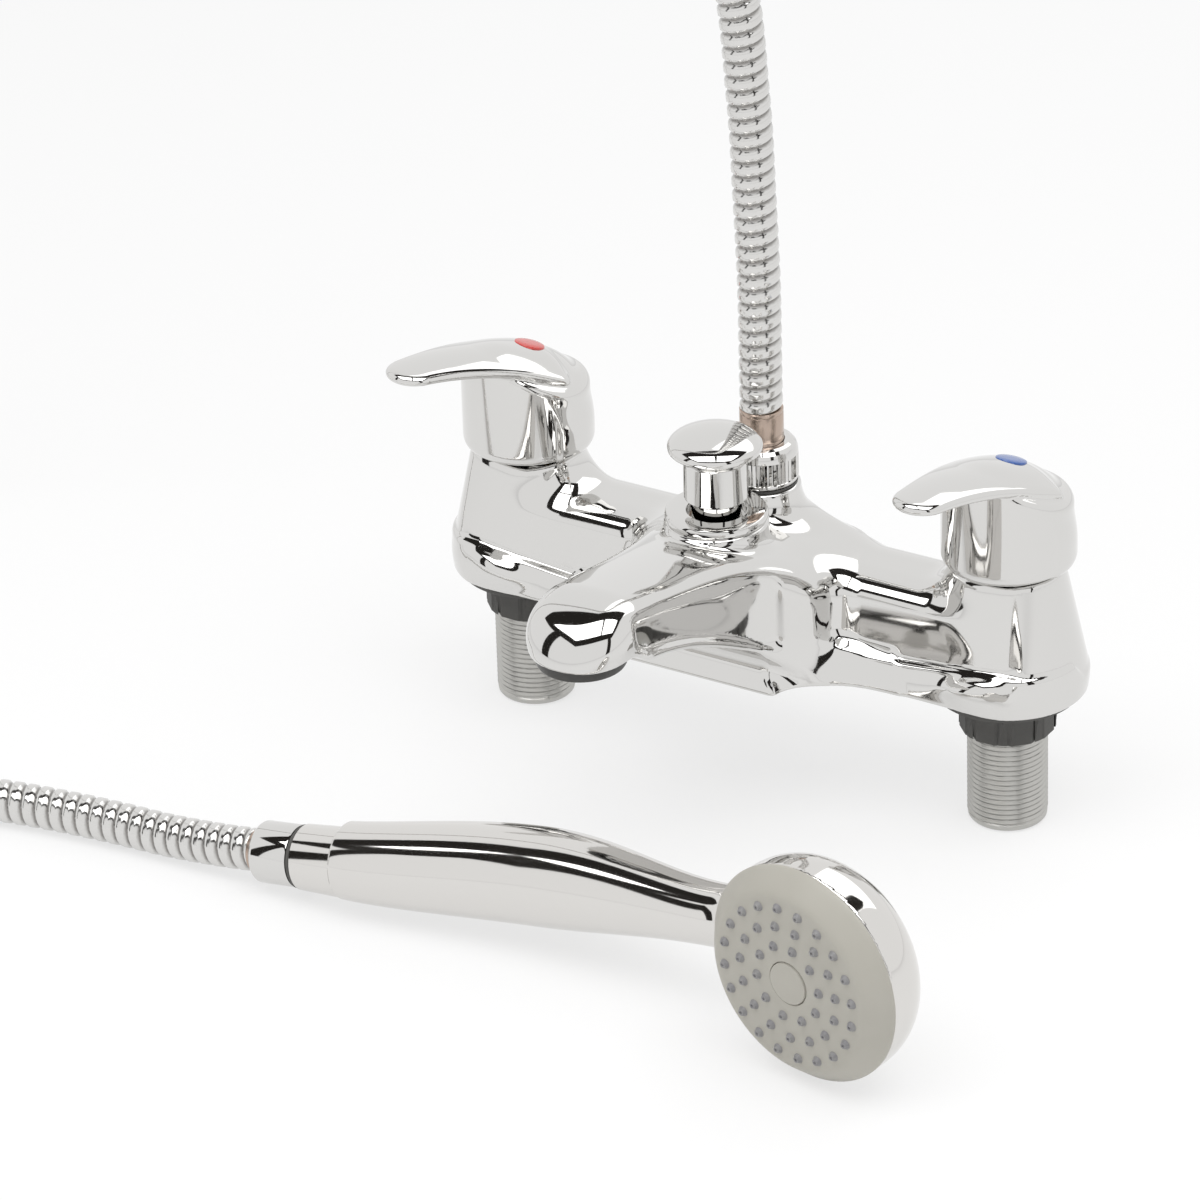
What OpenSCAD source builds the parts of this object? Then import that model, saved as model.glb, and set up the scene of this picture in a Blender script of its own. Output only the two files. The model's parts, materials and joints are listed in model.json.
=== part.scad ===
// Deck-mounted bath shower mixer with two levers, a lift diverter, a ribbed hose and a handset.
// Millimetres, +Z up, the spout points to -Y.
// The origin lies on the deck plane, midway between the two inlet tails.

/* [Deck fixing] */
// Distance between the two inlet tails
tail_centres = 180; // [160:1:220]
// Outside diameter of an inlet tail's thread
tail_d = 26.44; // [24:0.01:30]
// Length of a tail below the deck plane
tail_len = 46.5; // [35:0.5:70]
// Water bore of a tail
tail_bore = 18; // [12:0.5:19]
// Diameter of the base seal's flange
seal_flange_d = 48; // [40:0.5:50]
// Thickness of the base seal's flange
seal_t = 2; // [2:0.5:6]
// Size of the eight-sided spigot over its corners
seal_spigot_d = 33; // [32:0.5:38]
// Depth of the spigot in the deck hole
seal_spigot_len = 13; // [6:0.5:20]

/* [Body] */
// Radius of a pillar at its foot
base_r = 25; // [24:0.5:30]
// Radius of a pillar at its widest
belly_r = 26; // [24:0.5:32]
// Height of the widest ring above the foot
belly_rise = 7; // [4:0.5:12]
// Radius of a pillar under the lever
shoulder_r = 19.5; // [18:0.5:24]
// Height of a pillar
pillar_h = 44.5; // [42:0.5:60]
// Depth of the arms from front to back
arm_d = 48.5; // [40:0.5:52]
// Height of the arms' ridge above the foot
arm_h = 35.5; // [32:0.5:42]
// Height of the rim that runs round the foot
rim_h = 6.5; // [4:0.5:10]
// Height of the seat under the hose nut above the foot
seat_h = 52.5; // [48:0.5:70]
// Reach of the spout from the tails to the outlet's axis
spout_reach = 115; // [100:1:160]
// Radius of the spout's nose
nose_r = 18.5; // [17:0.5:24]
// Height of the spout's top above the foot at the nose
nose_h = 64.5; // [60:0.5:80]
// Height of the nose's lower edge above the foot
outlet_h = 44; // [38:0.5:48]

/* [Levers] */
// Radius of a lever's skirt
lever_r = 22.5; // [21:0.5:27]
// Height of a lever at its axis
lever_h = 35; // [32:0.5:44]
// Reach of a lever from its axis to its tip
lever_len = 54; // [46:1:90]
// Rise of the tip above the top of the skirt
lever_rise = 7; // [3:0.5:16]
// Turn of the hot lever to the left of straight ahead, at rest
hot_turn = 22; // [0:1:60]
// Turn of the cold lever to the left of straight ahead, at rest
cold_turn = 9; // [0:1:20]
// Gap between a pillar and its lever
lever_gap = 0.8; // [0.5:0.1:2]
// Diameter of the red or blue index
index_d = 10.4; // [10.4:0.2:14]
// Distance of the index behind the lever's axis
index_back = 2; // [0:0.5:2]

/* [Valves] */
// Diameter of a valve body in its pocket
valve_d = 22; // [21.5:0.5:23]
// Diameter of the ceramic discs
disc_d = 18; // [15:0.5:18.5]
// Thickness of each ceramic disc
disc_t = 3; // [2:0.5:4]
// Diameter of a valve spindle
spindle_d = 8; // [6:0.5:9]

/* [Diverter] */
// Distance of the diverter's axis in front of the tails
diverter_y = 30; // [29:0.5:38]
// Diameter of the knob's cap
knob_d = 31; // [26:0.5:36]
// Height of the knob's rim above the seat
knob_rise = 25; // [22:0.5:34]
// Diameter of the collar under the knob
collar_d = 33.6; // [30:0.2:38]
// Thickness of the collar
collar_t = 3; // [2:0.5:5]
// Lift of the knob between bath and shower
diverter_lift = 10; // [6:0.5:11]

/* [Hose] */
// Outside diameter of the hose over its ribs
hose_d = 14.2; // [12:0.1:16]
// Depth of the groove between two ribs
rib_depth = 0.9; // [0.4:0.1:1.5]
// Number of ribs along the hose
rib_count = 200; // [60:1:200]
// Bore of the hose
hose_bore = 8; // [6:0.5:9]
// Diameter of the knurled nut on the mixer
nut_d = 23.6; // [23:0.2:28]
// Height of the knurled nut
nut_h = 13.8; // [13:0.2:20]
// Length of the nickel ferrule above the nut
ferrule_show = 11.5; // [6:0.5:20]
// Outside diameter of the nipple's thread
nipple_d = 20.9; // [18:0.1:21]

/* [Handset] */
// Diameter of the handset's hose nut
grip_nut_d = 20.4; // [20:0.2:26]
// Length of the handset's hose nut
grip_nut_len = 14.7; // [13:0.1:20]
// Length of the collar behind the dark ring
grip_collar_len = 16; // [10:0.5:24]
// Diameter of the handle where it leaves the collar
grip_start_d = 25.4; // [23:0.2:28]
// Diameter of the handle at its widest
grip_d = 32; // [26:0.5:38]
// Diameter of the handle's neck
neck_d = 20.4; // [16:0.2:26]
// Distance from the dark ring to the head's axis
grip_len = 203.5; // [180:0.5:240]
// Bow of the handle to the back
grip_bow = 8; // [0:0.5:12]
// Angle between the handle and the way the spray leaves
head_angle = 104; // [95:1:115]
// Diameter of the head's rim
head_d = 73; // [68:1:90]
// Depth of the head behind its rim
head_depth = 27; // [24:0.5:34]
// Depth of the head's upright side behind the rim
head_side = 4; // [2:0.5:8]
// Distance of the handle's axis behind the rim
head_set = 27; // [24:0.5:30]
// Dip of the neck towards the head
neck_dip = 14; // [10:0.5:16]
// Rise of the spray plate in front of the rim
plate_rise = 8; // [4:0.5:12]
// Diameter of the spray plate's flat field
plate_d = 59; // [56:0.5:64]
// Diameter of a nozzle
nozzle_d = 2.6; // [1.5:0.1:3]
// Diameter of the centre cap
cap_d = 14.6; // [10:0.2:20]

/* [Clearances] */
// Gap round a screwed or pushed-in piece
screw_fit = 0.1; // [0.05:0.01:0.2]
// Gap round a shaft that turns or slides
shaft_fit = 0.05; // [0.03:0.01:0.1]
// Gap between faces that pass each other
pass_gap = 0.3; // [0.2:0.05:0.5]
// Film between the ceramic discs
disc_film = 0.05; // [0.02:0.01:0.1]

/* [Hidden] */
$fn = 64;

// Which side a piece stands on
HOT = -1;
COLD = 1;

// Colours
CHROME = "#D5D8DC";
SATIN = "#B5B4AE";
BRASS = "#B8A265";
NICKEL = "#B9A698";
BLACK = "#3A3937";
CERAMIC = "#ECE8DC";
STEEL = "#A9ADB2";
FACE_GREY = "#B9B5AC";
NOZZLE_GREY = "#8A8A90";
HOT_RED = "#D0463F";
COLD_BLUE = "#3F62A8";

// A cut runs past the face that it opens by this much
over = 1;

// A tail's thread stops this far below the seal, and its plain neck is thinner by the depth
thread_free = 1;
thread_depth = 0.6;

// Heights of the body
foot_z = seal_t;
rim_z = foot_z + rim_h;
pillar_top = foot_z + pillar_h;
ridge_z = foot_z + arm_h;
seat_z = foot_z + seat_h;
nose_top = foot_z + nose_h;
outlet_z = foot_z + outlet_h;
pillar_x = tail_centres/2;

// Arms and the middle of the body
arm_top_r = 9;
arm_lean = 6;
rim_step = 2;
seat_r = nut_d/2 + 0.7;
seat_back = 16;
collar_land = 0.4;
middle_half = 29;
middle_front = 45;
// The block between the arms: its half width, its front and back, and how fast it narrows into the spout
block_half = 36;
block_y = 29;
block_back = 12;
block_waist = 16;
// Hollow front of the arms and pillars: a large cylinder in front of them, and how far it reaches past the
// pillars' axes
cove_r = 56;
cove_y = 69.4;
cove_z = foot_z + 38.2;
cove_over = 30;
// From here on the hollow swings forward by this angle
cove_turn_x = 60;
cove_swing = 6.5;

// Spout
nose_round = 7;
root_y = 40.8;
root_top = foot_z + 49;
crown_r = 64;
crown_angle = atan((nose_top - root_top)/(spout_reach - root_y));
arch_r = 186;
arch_y = spout_reach + 30.4;
arch_z = outlet_z - 185.5;
nose_taper = 2.5;
nose_taper_h = 7;
nose_flat_y = spout_reach - 3;
nose_slope = 19;

// Waterways in the body
tail_socket_d = 22;
tail_socket_len = 9;
port_d = 14;
port_len = 7;
gallery_d = 9;
chamber_r = 10;
spout_way_d = 10;

// Valve levels, from the pocket's floor upwards
pocket_z = foot_z + tail_socket_len + port_len;
seat_seal_t = 3;
fixed_z = pocket_z + seat_seal_t;
moving_z = fixed_z + disc_t + disc_film;
carrier_z = moving_z + disc_t;
carrier_t = 3;
valve_roof = carrier_z + carrier_t + pass_gap;
valve_neck_r = 7.5;
valve_neck_h = 6;
valve_neck_z = pillar_top + valve_neck_h;
gallery_z = carrier_z;

// Lever levels
lever_z = pillar_top + lever_gap;
lever_wall = 3.5;
lever_front_step = 1;
hub_r = 8;
hub_z = valve_neck_z + pass_gap;
spindle_top = lever_z + lever_h - 15;
screw_head_z = lever_z + lever_h - 9;
screw_d = 4;
screw_head_d = 6;
screw_head_t = 3;
screw_len = 16;
index_t = 3;
index_proud = 1;
// A lever's crown is part of a ring: its long curve falls from near the tip to the back,
// and it is round across
crown_y = lever_len - 7;
crown_bend = 148;
crown_across = 33.5;
crown_top = lever_h + lever_rise + 0.4;
index_tilt = atan((crown_y + index_back)/crown_bend);
index_seat = crown_top - pow(crown_y + index_back, 2)/(2*crown_bend);
index_z = lever_z + index_seat;
dome_r = 14;
blade_half = 15;
blade_tip_r = 9.5;
blade_tip_t = 4;
blade_root_t = 7;

// Diverter levels
gland_h = 9.5;
collar_z = seat_z + collar_t;
collar_bore_r = 9.6;
rod_r = 4;
neck_r = 8;
knob_stem_r = 10.5;
knob_rim_z = seat_z + knob_rise;
knob_dome = 5;
knob_rim_t = 2;
knob_neck_h = 7;
washer_t = 3;
piston_t = 3;
piston_top = seat_z - gland_h - diverter_lift - 1;
chamber_floor = piston_top - piston_t - washer_t - 1.5;
boss_z = chamber_floor - 4;

// Hose connection levels
nipple_seal_t = 1.2;
nipple_h = 9;
nipple_bore_r = 6;
nipple_spigot_r = 8;
nipple_spigot_len = 12;
nut_z = seat_z + nipple_seal_t;
washer_z = seat_z + nipple_h;
hose_washer_t = 2;
flange_t = 1.5;
flange_z = washer_z + hose_washer_t;
nut_top = nut_z + nut_h;
ferrule_r = hose_d/2 + 0.05;
ferrule_top = nut_top + ferrule_show;
ferrule_bore_r = 5;

// Outlet under the spout
outlet_ring_d = 29;
outlet_ring_h = 3.5;
outlet_thread_r = 12.5;
outlet_thread_len = 8;
straightener_r = 10.4;
straightener_hole_r = 1.2;

// Handset: its dark ring's place and its lie on the surface beside the mixer
handset_at = [-85.3, -150.8, -33.5];
handset_turn = [0, -6.9, 1.9];
grip_thread_r = 8.2;
grip_ring_t = 1.4;
grip_ferrule_r = 6.9;
grip_ferrule_show = 2.5;
shell_t = 2.5;
mat_t = 1.6;
plate_wall = 2;
plate_inner_r = plate_d/2 - 1.2;
nozzle_proud = 1.4;
nozzle_rings = [[10, 12.6], [15, 19.4], [20, 26]];
post_r = 5;

// Hose route on its axis: up from the ferrule, over in an arch to the left, down to the surface that the
// tails stand on, forward and round into the handset's ferrule
hose_route = [
  [0, 0, 81], [0, 0, 97], [0, 0, 125], [-1, 0, 155], [-2, -1, 190], [-6, -3, 235], [-22, -7, 282],
  [-54, -12, 324], [-101, -17, 352], [-156, -21, 362], [-211, -23, 355], [-261, -23, 331],
  [-300, -22, 294], [-328, -20, 249], [-346, -18, 199], [-356, -17, 147], [-361, -17, 93],
  [-364, -20, 44], [-365, -32, -2], [-365, -57, -29], [-365, -92, -39.2], [-361, -128, -39.3],
  [-342, -161, -39.3], [-311, -179, -39.3], [-275, -179, -39.3], [-238, -169, -39.3],
  [-201, -159.5, -39.3], [-178, -155.5, -39.3], [-157, -153.2, -39.3], [-137, -152.3, -39],
  [-118.1, -151.9, -37.4], [-103.1, -151.4, -35.6]
];

// Vector helpers
function unit(v) = v/norm(v);
function arc(c, r, a0, a1, n) = [for (i = [0:n]) let (a = a0 + (a1 - a0)*i/n) c + r*[cos(a), sin(a)]];

// Point t of the smooth curve through a list of points, t counted in points
function curve_point(p, t) =
  let (
    last = len(p) - 1,
    i = min(floor(t), last - 1),
    f = t - i,
    b = p[i],
    c = p[i + 1],
    a = i > 0 ? p[i - 1] : 2*b - c,
    d = i < last - 1 ? p[i + 2] : 2*c - b
  )
  0.5*(2*b + (c - a)*f + (2*a - 5*b + 4*c - d)*f*f + (3*b - 3*c + d - a)*f*f*f);

// Frames carried along a line of points without twist: [tangent, normal] for each point
function tangent_at(p, i) = unit(p[min(i + 1, len(p) - 1)] - p[max(i - 1, 0)]);
function carried(n, t) = unit(n - (n*t)*t);
function frames(p, first) = [
  for (i = 0, t = tangent_at(p, 0), n = carried(first, t);
       i < len(p);
       i = i + 1, t = i < len(p) ? tangent_at(p, i) : t, n = carried(n, t))
    [t, n]
];

// One ring of points round a place on the line
function ring(c, frame, r, sides) = [
  for (k = [0:sides - 1]) let (a = 360*k/sides) c + r*(cos(a)*frame[1] + sin(a)*cross(frame[0], frame[1]))
];

// Triangles between two rows of a ring grid, and between an outer and an inner end ring
function band(row, next, sides) = [
  for (k = [0:sides - 1]) let (k2 = (k + 1) % sides)
    each [[row + k, next + k2, row + k2], [row + k, next + k, next + k2]]
];
function flip(faces) = [for (f = faces) [f[0], f[2], f[1]]];

// Hollow tube: outer and inner rows of rings with the same number of sides, open right through
module tube_skin(outer, inner, sides) {
  points = concat([for (r = outer) each r], [for (r = inner) each r]);
  in0 = len(outer)*sides;
  last_out = (len(outer) - 1)*sides;
  last_in = in0 + (len(inner) - 1)*sides;
  faces = concat(
    [for (i = [0:len(outer) - 2]) each flip(band(i*sides, (i + 1)*sides, sides))],
    [for (i = [0:len(inner) - 2]) each band(in0 + i*sides, in0 + (i + 1)*sides, sides)],
    band(0, in0, sides),
    flip(band(last_out, last_in, sides))
  );
  polyhedron(points, faces);
}

// Places
module on_pillar(side) { translate([side*pillar_x, 0, 0]) children(); }
module on_lever(side) { on_pillar(side) rotate([0, 0, side == HOT ? -hot_turn : -cold_turn]) children(); }
module on_index() { translate([0, index_back, index_z]) rotate([-index_tilt, 0, 0]) children(); }
module on_diverter() { translate([0, -diverter_y, 0]) children(); }
module on_outlet() { translate([0, -spout_reach, 0]) children(); }
module on_handset() { translate(handset_at) rotate(handset_turn) children(); }
// Along the handset: a profile's x is its radius and its y runs towards the head
module along_grip() { on_handset() rotate([0, 90, 0]) children(); }
// On the head's axis: z = 0 at the rim, +z the way that the spray leaves
module on_head() {
  on_handset() translate([grip_len, 0, 0]) rotate([0, 0, 90 - head_angle]) translate([0, -head_set, 0])
    rotate([90, 0, 0]) children();
}

// Body
module pillar_form() {
  rotate_extrude() polygon([
    [0, foot_z], [base_r, foot_z], [belly_r, foot_z + belly_rise], [shoulder_r, pillar_top - 3],
    [shoulder_r - 1, pillar_top], [0, pillar_top]
  ]);
}

module arm_section() {
  half = arm_d/2;
  top_y = half - rim_step - arm_lean - arm_top_r;
  polygon(concat(
    [[-half, foot_z], [-half, rim_z], [-half + rim_step, rim_z + rim_step]],
    arc([-top_y, ridge_z - arm_top_r], arm_top_r, 170, 90, 6),
    arc([top_y, ridge_z - arm_top_r], arm_top_r, 90, 10, 6),
    [[half - rim_step, rim_z + rim_step], [half, rim_z], [half, foot_z]]
  ));
}

module arms_form() {
  rotate([90, 0, 90]) linear_extrude(tail_centres, center = true) arm_section();
}

// Foot of the middle: it sweeps forward from the arms in two hollow curves
module middle_plan(half, sweep) {
  difference() {
    translate([-half - sweep, -arm_d/2 - sweep]) square([2*(half + sweep), arm_d/2 + sweep]);
    for (s = [-1, 1]) translate([s*(half + sweep), -arm_d/2 - sweep]) circle(sweep);
  }
}

module middle_form() {
  translate([0, 0, foot_z]) linear_extrude(rim_h) middle_plan(middle_half, middle_front - arm_d/2);
}

// Flared seat of the hose nut, and the block that carries it forward to the diverter
module seat_form() {
  rise = seat_z - ridge_z;
  flare = rise + 2;
  intersection() {
    rotate_extrude() polygon(concat(
      [[0, foot_z], [seat_r + flare, foot_z], [seat_r + flare, ridge_z - 2]],
      arc([seat_r + flare, seat_z], flare, 270, 180, 8),
      [[0, seat_z]]
    ));
    translate([-seat_r - flare, -arm_d/2, 0]) cube([2*(seat_r + flare), arm_d/2 + seat_back, seat_z]);
  }
  translate([0, -diverter_y, boss_z]) cylinder(r = collar_d/2 + collar_land, h = seat_z - boss_z);
  translate([-seat_r, -diverter_y, foot_z]) cube([2*seat_r, diverter_y, seat_h]);
}

// Half width of the block and the spout at a distance in front of the tails
function half_width(d) = min(block_half, nose_r + (block_half - nose_r)*exp((block_y - d)/block_waist));

module spout_plan() {
  steps = 24;
  far = [for (i = [0:steps]) block_y + (spout_reach - block_y)*i/steps];
  right = concat([[block_half, block_back]], [for (d = far) [half_width(d), -d]]);
  polygon(concat(right, [for (i = [len(right) - 1:-1:0]) [-right[i][0], right[i][1]]]));
}

// Block between the arms and the spout in one sweep, under a crown that rises to the nose
module spout_form() {
  difference() {
    union() {
      intersection() {
        translate([0, 0, foot_z]) linear_extrude(nose_h) spout_plan();
        translate([0, -root_y, root_top]) rotate([90 - crown_angle, 0, 0])
          translate([0, -crown_r, -2*root_y]) cylinder(r = crown_r, h = 3*spout_reach, $fn = 128);
      }
      on_outlet() rotate_extrude() polygon(concat(
        [[0, outlet_z], [nose_r - nose_taper, outlet_z], [nose_r, outlet_z + nose_taper_h]],
        arc([nose_r - nose_round, nose_top - nose_round], nose_round, 0, 90, 5),
        [[0, nose_top]]
      ));
    }
    translate([0, -arch_y, arch_z]) rotate([0, 90, 0])
      cylinder(r = arch_r, h = 4*block_half, center = true, $fn = 256);
    // Flat underside of the nose, and the slope that leads from it to the arch
    translate([-2*nose_r, -nose_flat_y - 3*nose_r, 0]) cube([4*nose_r, 3*nose_r, outlet_z]);
    translate([-2*nose_r, -nose_flat_y, outlet_z]) rotate([-nose_slope, 0, 0])
      translate([0, -over, -nose_r]) cube([4*nose_r, 14, nose_r]);
    on_outlet() cylinder(r = outlet_ring_d/2 + over, h = outlet_z);
  }
}

module cove_cut() {
  lead = cove_r*sin(cove_swing);
  for (s = [HOT, COLD]) {
    translate([s*(middle_half + cove_turn_x)/2, -cove_y, cove_z]) rotate([0, 90, 0])
      cylinder(r = cove_r, h = cove_turn_x - middle_half, center = true);
    translate([s*cove_turn_x, -cove_y, cove_z]) rotate([0, 0, -s*cove_swing]) rotate([0, s*90, 0])
      translate([0, 0, -lead]) cylinder(r = cove_r, h = lead + pillar_x + cove_over - cove_turn_x);
  }
}

module body_cuts() {
  for (s = [HOT, COLD]) on_pillar(s) {
    translate([0, 0, foot_z - over]) cylinder(d = tail_socket_d + 2*screw_fit, h = tail_socket_len + over);
    translate([0, 0, foot_z]) cylinder(d = port_d, h = pocket_z - foot_z + over);
    translate([0, 0, pocket_z]) cylinder(d = valve_d + 2*screw_fit, h = pillar_top - pocket_z + over);
  }
  translate([0, 0, gallery_z]) rotate([0, 90, 0])
    cylinder(d = gallery_d, h = tail_centres - valve_d, center = true);
  translate([0, 0, gallery_z]) rotate([90, 0, 0]) cylinder(d = gallery_d, h = diverter_y);
  on_diverter() translate([0, 0, chamber_floor]) cylinder(r = chamber_r, h = seat_z - chamber_floor + over);
  translate([0, 0, seat_z - nipple_spigot_len])
    cylinder(r = nipple_spigot_r + screw_fit, h = nipple_spigot_len + over);
  translate([0, 0, gallery_z]) cylinder(r = nipple_bore_r - 1, h = seat_z - gallery_z);
  spout_way();
  on_outlet() translate([0, 0, outlet_z - over])
    cylinder(r = outlet_thread_r + screw_fit, h = outlet_thread_len + over + 3);
}

// Straight waterway from the diverter's chamber to the outlet
module spout_way() {
  from = [0, -diverter_y, seat_z - gland_h - spout_way_d/2];
  to = [0, -spout_reach, outlet_z + outlet_thread_len + 1];
  run = to - from;
  translate(from) rotate([atan2(norm([run[0], run[1]]), run[2]), 0, 0])
    cylinder(d = spout_way_d, h = norm(run));
}

module mixer_body() {
  color(CHROME) difference() {
    union() {
      difference() {
        union() {
          for (s = [HOT, COLD]) on_pillar(s) pillar_form();
          arms_form();
        }
        cove_cut();
      }
      middle_form();
      seat_form();
      spout_form();
    }
    body_cuts();
  }
}

// Inlet tails and base seals
module inlet_tail() {
  r = tail_d/2;
  thread_top = -seal_spigot_len - thread_free;
  color(SATIN) rotate_extrude() polygon([
    [tail_bore/2, -tail_len], [r - 1, -tail_len], [r, -tail_len + 1], [r, thread_top],
    [r - thread_depth, thread_top + thread_depth], [r - thread_depth, foot_z],
    [tail_socket_d/2, foot_z], [tail_socket_d/2, foot_z + tail_socket_len],
    [tail_bore/2, foot_z + tail_socket_len]
  ]);
}

module base_seal() {
  color(BLACK) difference() {
    union() {
      cylinder(d = seal_flange_d, h = seal_t);
      translate([0, 0, -seal_spigot_len])
        cylinder(d = seal_spigot_d, h = seal_spigot_len + seal_t/2, $fn = 8);
    }
    translate([0, 0, -seal_spigot_len - over])
      cylinder(r = tail_d/2 + pass_gap, h = seal_spigot_len + seal_t + 2*over);
  }
}

// Quarter-turn valves
module valve_body() {
  color(BRASS) difference() {
    rotate_extrude() polygon([
      [0, fixed_z], [valve_d/2, fixed_z], [valve_d/2, pillar_top], [valve_neck_r, pillar_top],
      [valve_neck_r, valve_neck_z], [0, valve_neck_z]
    ]);
    translate([0, 0, fixed_z - over]) cylinder(d = disc_d + 2*pass_gap, h = valve_roof - fixed_z + over);
    cylinder(r = spindle_d/2 + shaft_fit, h = valve_neck_z + over);
    // Side ports, in line with the gallery
    translate([0, 0, gallery_z]) rotate([0, 90, 0])
      cylinder(d = carrier_t, h = valve_d + 2*over, center = true);
  }
}

module seat_seal() {
  color(BLACK) translate([0, 0, pocket_z]) difference() {
    cylinder(d = valve_d - 2, h = seat_seal_t);
    translate([0, 0, -over]) cylinder(d = port_d - 4, h = seat_seal_t + 2*over);
  }
}

// A ceramic disc with two water windows
module ceramic_disc(z) {
  color(CERAMIC) translate([0, 0, z]) difference() {
    cylinder(d = disc_d, h = disc_t);
    for (s = [-1, 1]) translate([s*disc_d/4, 0, -over]) cylinder(d = disc_d/4, h = disc_t + 2*over);
  }
}

// Height of the groove for the ring on a spindle
spindle_ring_z = valve_roof + 4;
ring_groove = 1.2;

module spindle() {
  r = spindle_d/2;
  color(BRASS) difference() {
    rotate_extrude() polygon([
      [0, carrier_z], [disc_d/2, carrier_z], [disc_d/2, carrier_z + carrier_t], [r, carrier_z + carrier_t],
      [r, spindle_ring_z], [r - ring_groove, spindle_ring_z],
      [r - ring_groove, spindle_ring_z + 2*ring_groove], [r, spindle_ring_z + 2*ring_groove],
      [r, spindle_top], [0, spindle_top]
    ]);
    translate([0, 0, spindle_top - screw_len]) cylinder(r = screw_d/2 + screw_fit, h = screw_len + over);
  }
}

module spindle_ring() {
  color(BLACK) translate([0, 0, spindle_ring_z + ring_groove]) rotate_extrude()
    translate([spindle_d/2 - ring_groove/2, 0]) circle(ring_groove/2 - 0.02, $fn = 24);
}

// Levers
// Half outline of a lever's skirt: a short cylinder with a rounded foot and a domed top
module skirt_half(r) {
  polygon(concat(
    [[0, 0], [r - 2.4, 0], [r - 0.8, 1], [r, 4]],
    arc([r - dome_r, lever_h - dome_r - 1.5], dome_r, 0, 80, 8),
    [[0, lever_h]]
  ));
}

// Height of a lever's crown above the skirt's lower edge, y running to the back
function crown_z(y) = crown_top - pow(max(y + crown_y, 0), 2)/(2*crown_bend);

// Outline of a lever's blade from the side: y runs to the back, z from the lower edge of the skirt
module blade_side() {
  tip = -lever_len;
  polygon([
    [lever_r - 9, lever_h - 12], [lever_r - 9, lever_h], [0, lever_h + lever_rise],
    [tip, lever_h + 2*lever_rise], [tip, crown_top - blade_tip_t],
    [-lever_r, crown_z(-lever_r) - blade_root_t], [0, lever_h - blade_root_t - 2]
  ]);
}

// Crown of a lever: everything above this ring is cut away
module lever_crown() {
  translate([0, -crown_y, crown_top - crown_bend]) rotate([0, 90, 0]) rotate_extrude($fn = 256)
    translate([crown_bend - crown_across, 0]) circle(crown_across, $fn = 96);
}

// Outline of a lever's blade from above
module blade_plan() {
  tip_y = -lever_len + blade_tip_r;
  polygon([
    [-10, 12], [10, 12], [blade_half + 3, 0], [blade_half + 1, -lever_r/2],
    [blade_half - 1.5, -lever_r], [blade_tip_r, tip_y], [-blade_tip_r, tip_y],
    [-blade_half + 1.5, -lever_r], [-blade_half - 1, -lever_r/2], [-blade_half - 3, 0]
  ]);
  translate([0, tip_y]) circle(blade_tip_r);
}

module lever() {
  color(CHROME) difference() {
    translate([0, 0, lever_z]) intersection() {
      union() {
        rotate_extrude() skirt_half(lever_r - lever_front_step);
        // Back of the lever, one step proud of the front
        intersection() {
          rotate_extrude() skirt_half(lever_r);
          translate([-lever_r, -4, 0]) cube([2*lever_r, lever_r + 4, lever_h]);
        }
        intersection() {
          rotate([90, 0, 90]) linear_extrude(2*lever_r, center = true) blade_side();
          linear_extrude(crown_top) blade_plan();
        }
      }
      lever_crown();
    }
    difference() {
      translate([0, 0, lever_z - over])
        cylinder(r = lever_r - lever_front_step - lever_wall, h = spindle_top - lever_z + over);
      cylinder(r = hub_r, h = spindle_top + over);
    }
    // Room under the hub, the spindle's bore, the screw and the pocket of the index
    translate([0, 0, lever_z - over]) cylinder(r = hub_r + over, h = hub_z - lever_z + over);
    translate([0, 0, lever_z]) cylinder(r = spindle_d/2 + shaft_fit, h = spindle_top - lever_z);
    translate([0, 0, lever_z]) cylinder(r = screw_d/2 + screw_fit, h = lever_h + lever_rise);
    translate([0, 0, screw_head_z])
      cylinder(r = screw_head_d/2 + screw_fit, h = index_z - index_proud - screw_head_z);
    on_index() translate([0, 0, index_proud - index_t]) cylinder(r = index_d/2 + screw_fit, h = lever_rise);
  }
}

module lever_screw() {
  color(STEEL) difference() {
    union() {
      translate([0, 0, screw_head_z]) cylinder(d = screw_head_d, h = screw_head_t);
      translate([0, 0, screw_head_z - screw_len]) cylinder(d = screw_d, h = screw_len);
    }
    translate([-screw_head_d, -0.5, screw_head_z + screw_head_t - 1]) cube([2*screw_head_d, 1, 2]);
  }
}

module index(paint) {
  color(paint) on_index() translate([0, 0, index_proud - index_t]) rotate_extrude() polygon([
    [0, 0], [index_d/2, 0], [index_d/2, index_t - 0.6], [index_d/2 - 0.6, index_t], [0, index_t]
  ]);
}

// Diverter
module diverter_collar() {
  color(CHROME) rotate_extrude() polygon([
    [rod_r + shaft_fit, seat_z - gland_h], [chamber_r - screw_fit, seat_z - gland_h],
    [chamber_r - screw_fit, seat_z], [collar_d/2, seat_z], [collar_d/2, collar_z - 1],
    [collar_d/2 - 1, collar_z], [collar_bore_r, collar_z], [collar_bore_r, seat_z],
    [rod_r + shaft_fit, seat_z]
  ]);
}

knob_foot_z = seat_z + pass_gap;
knob_rod_len = 12;

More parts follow.
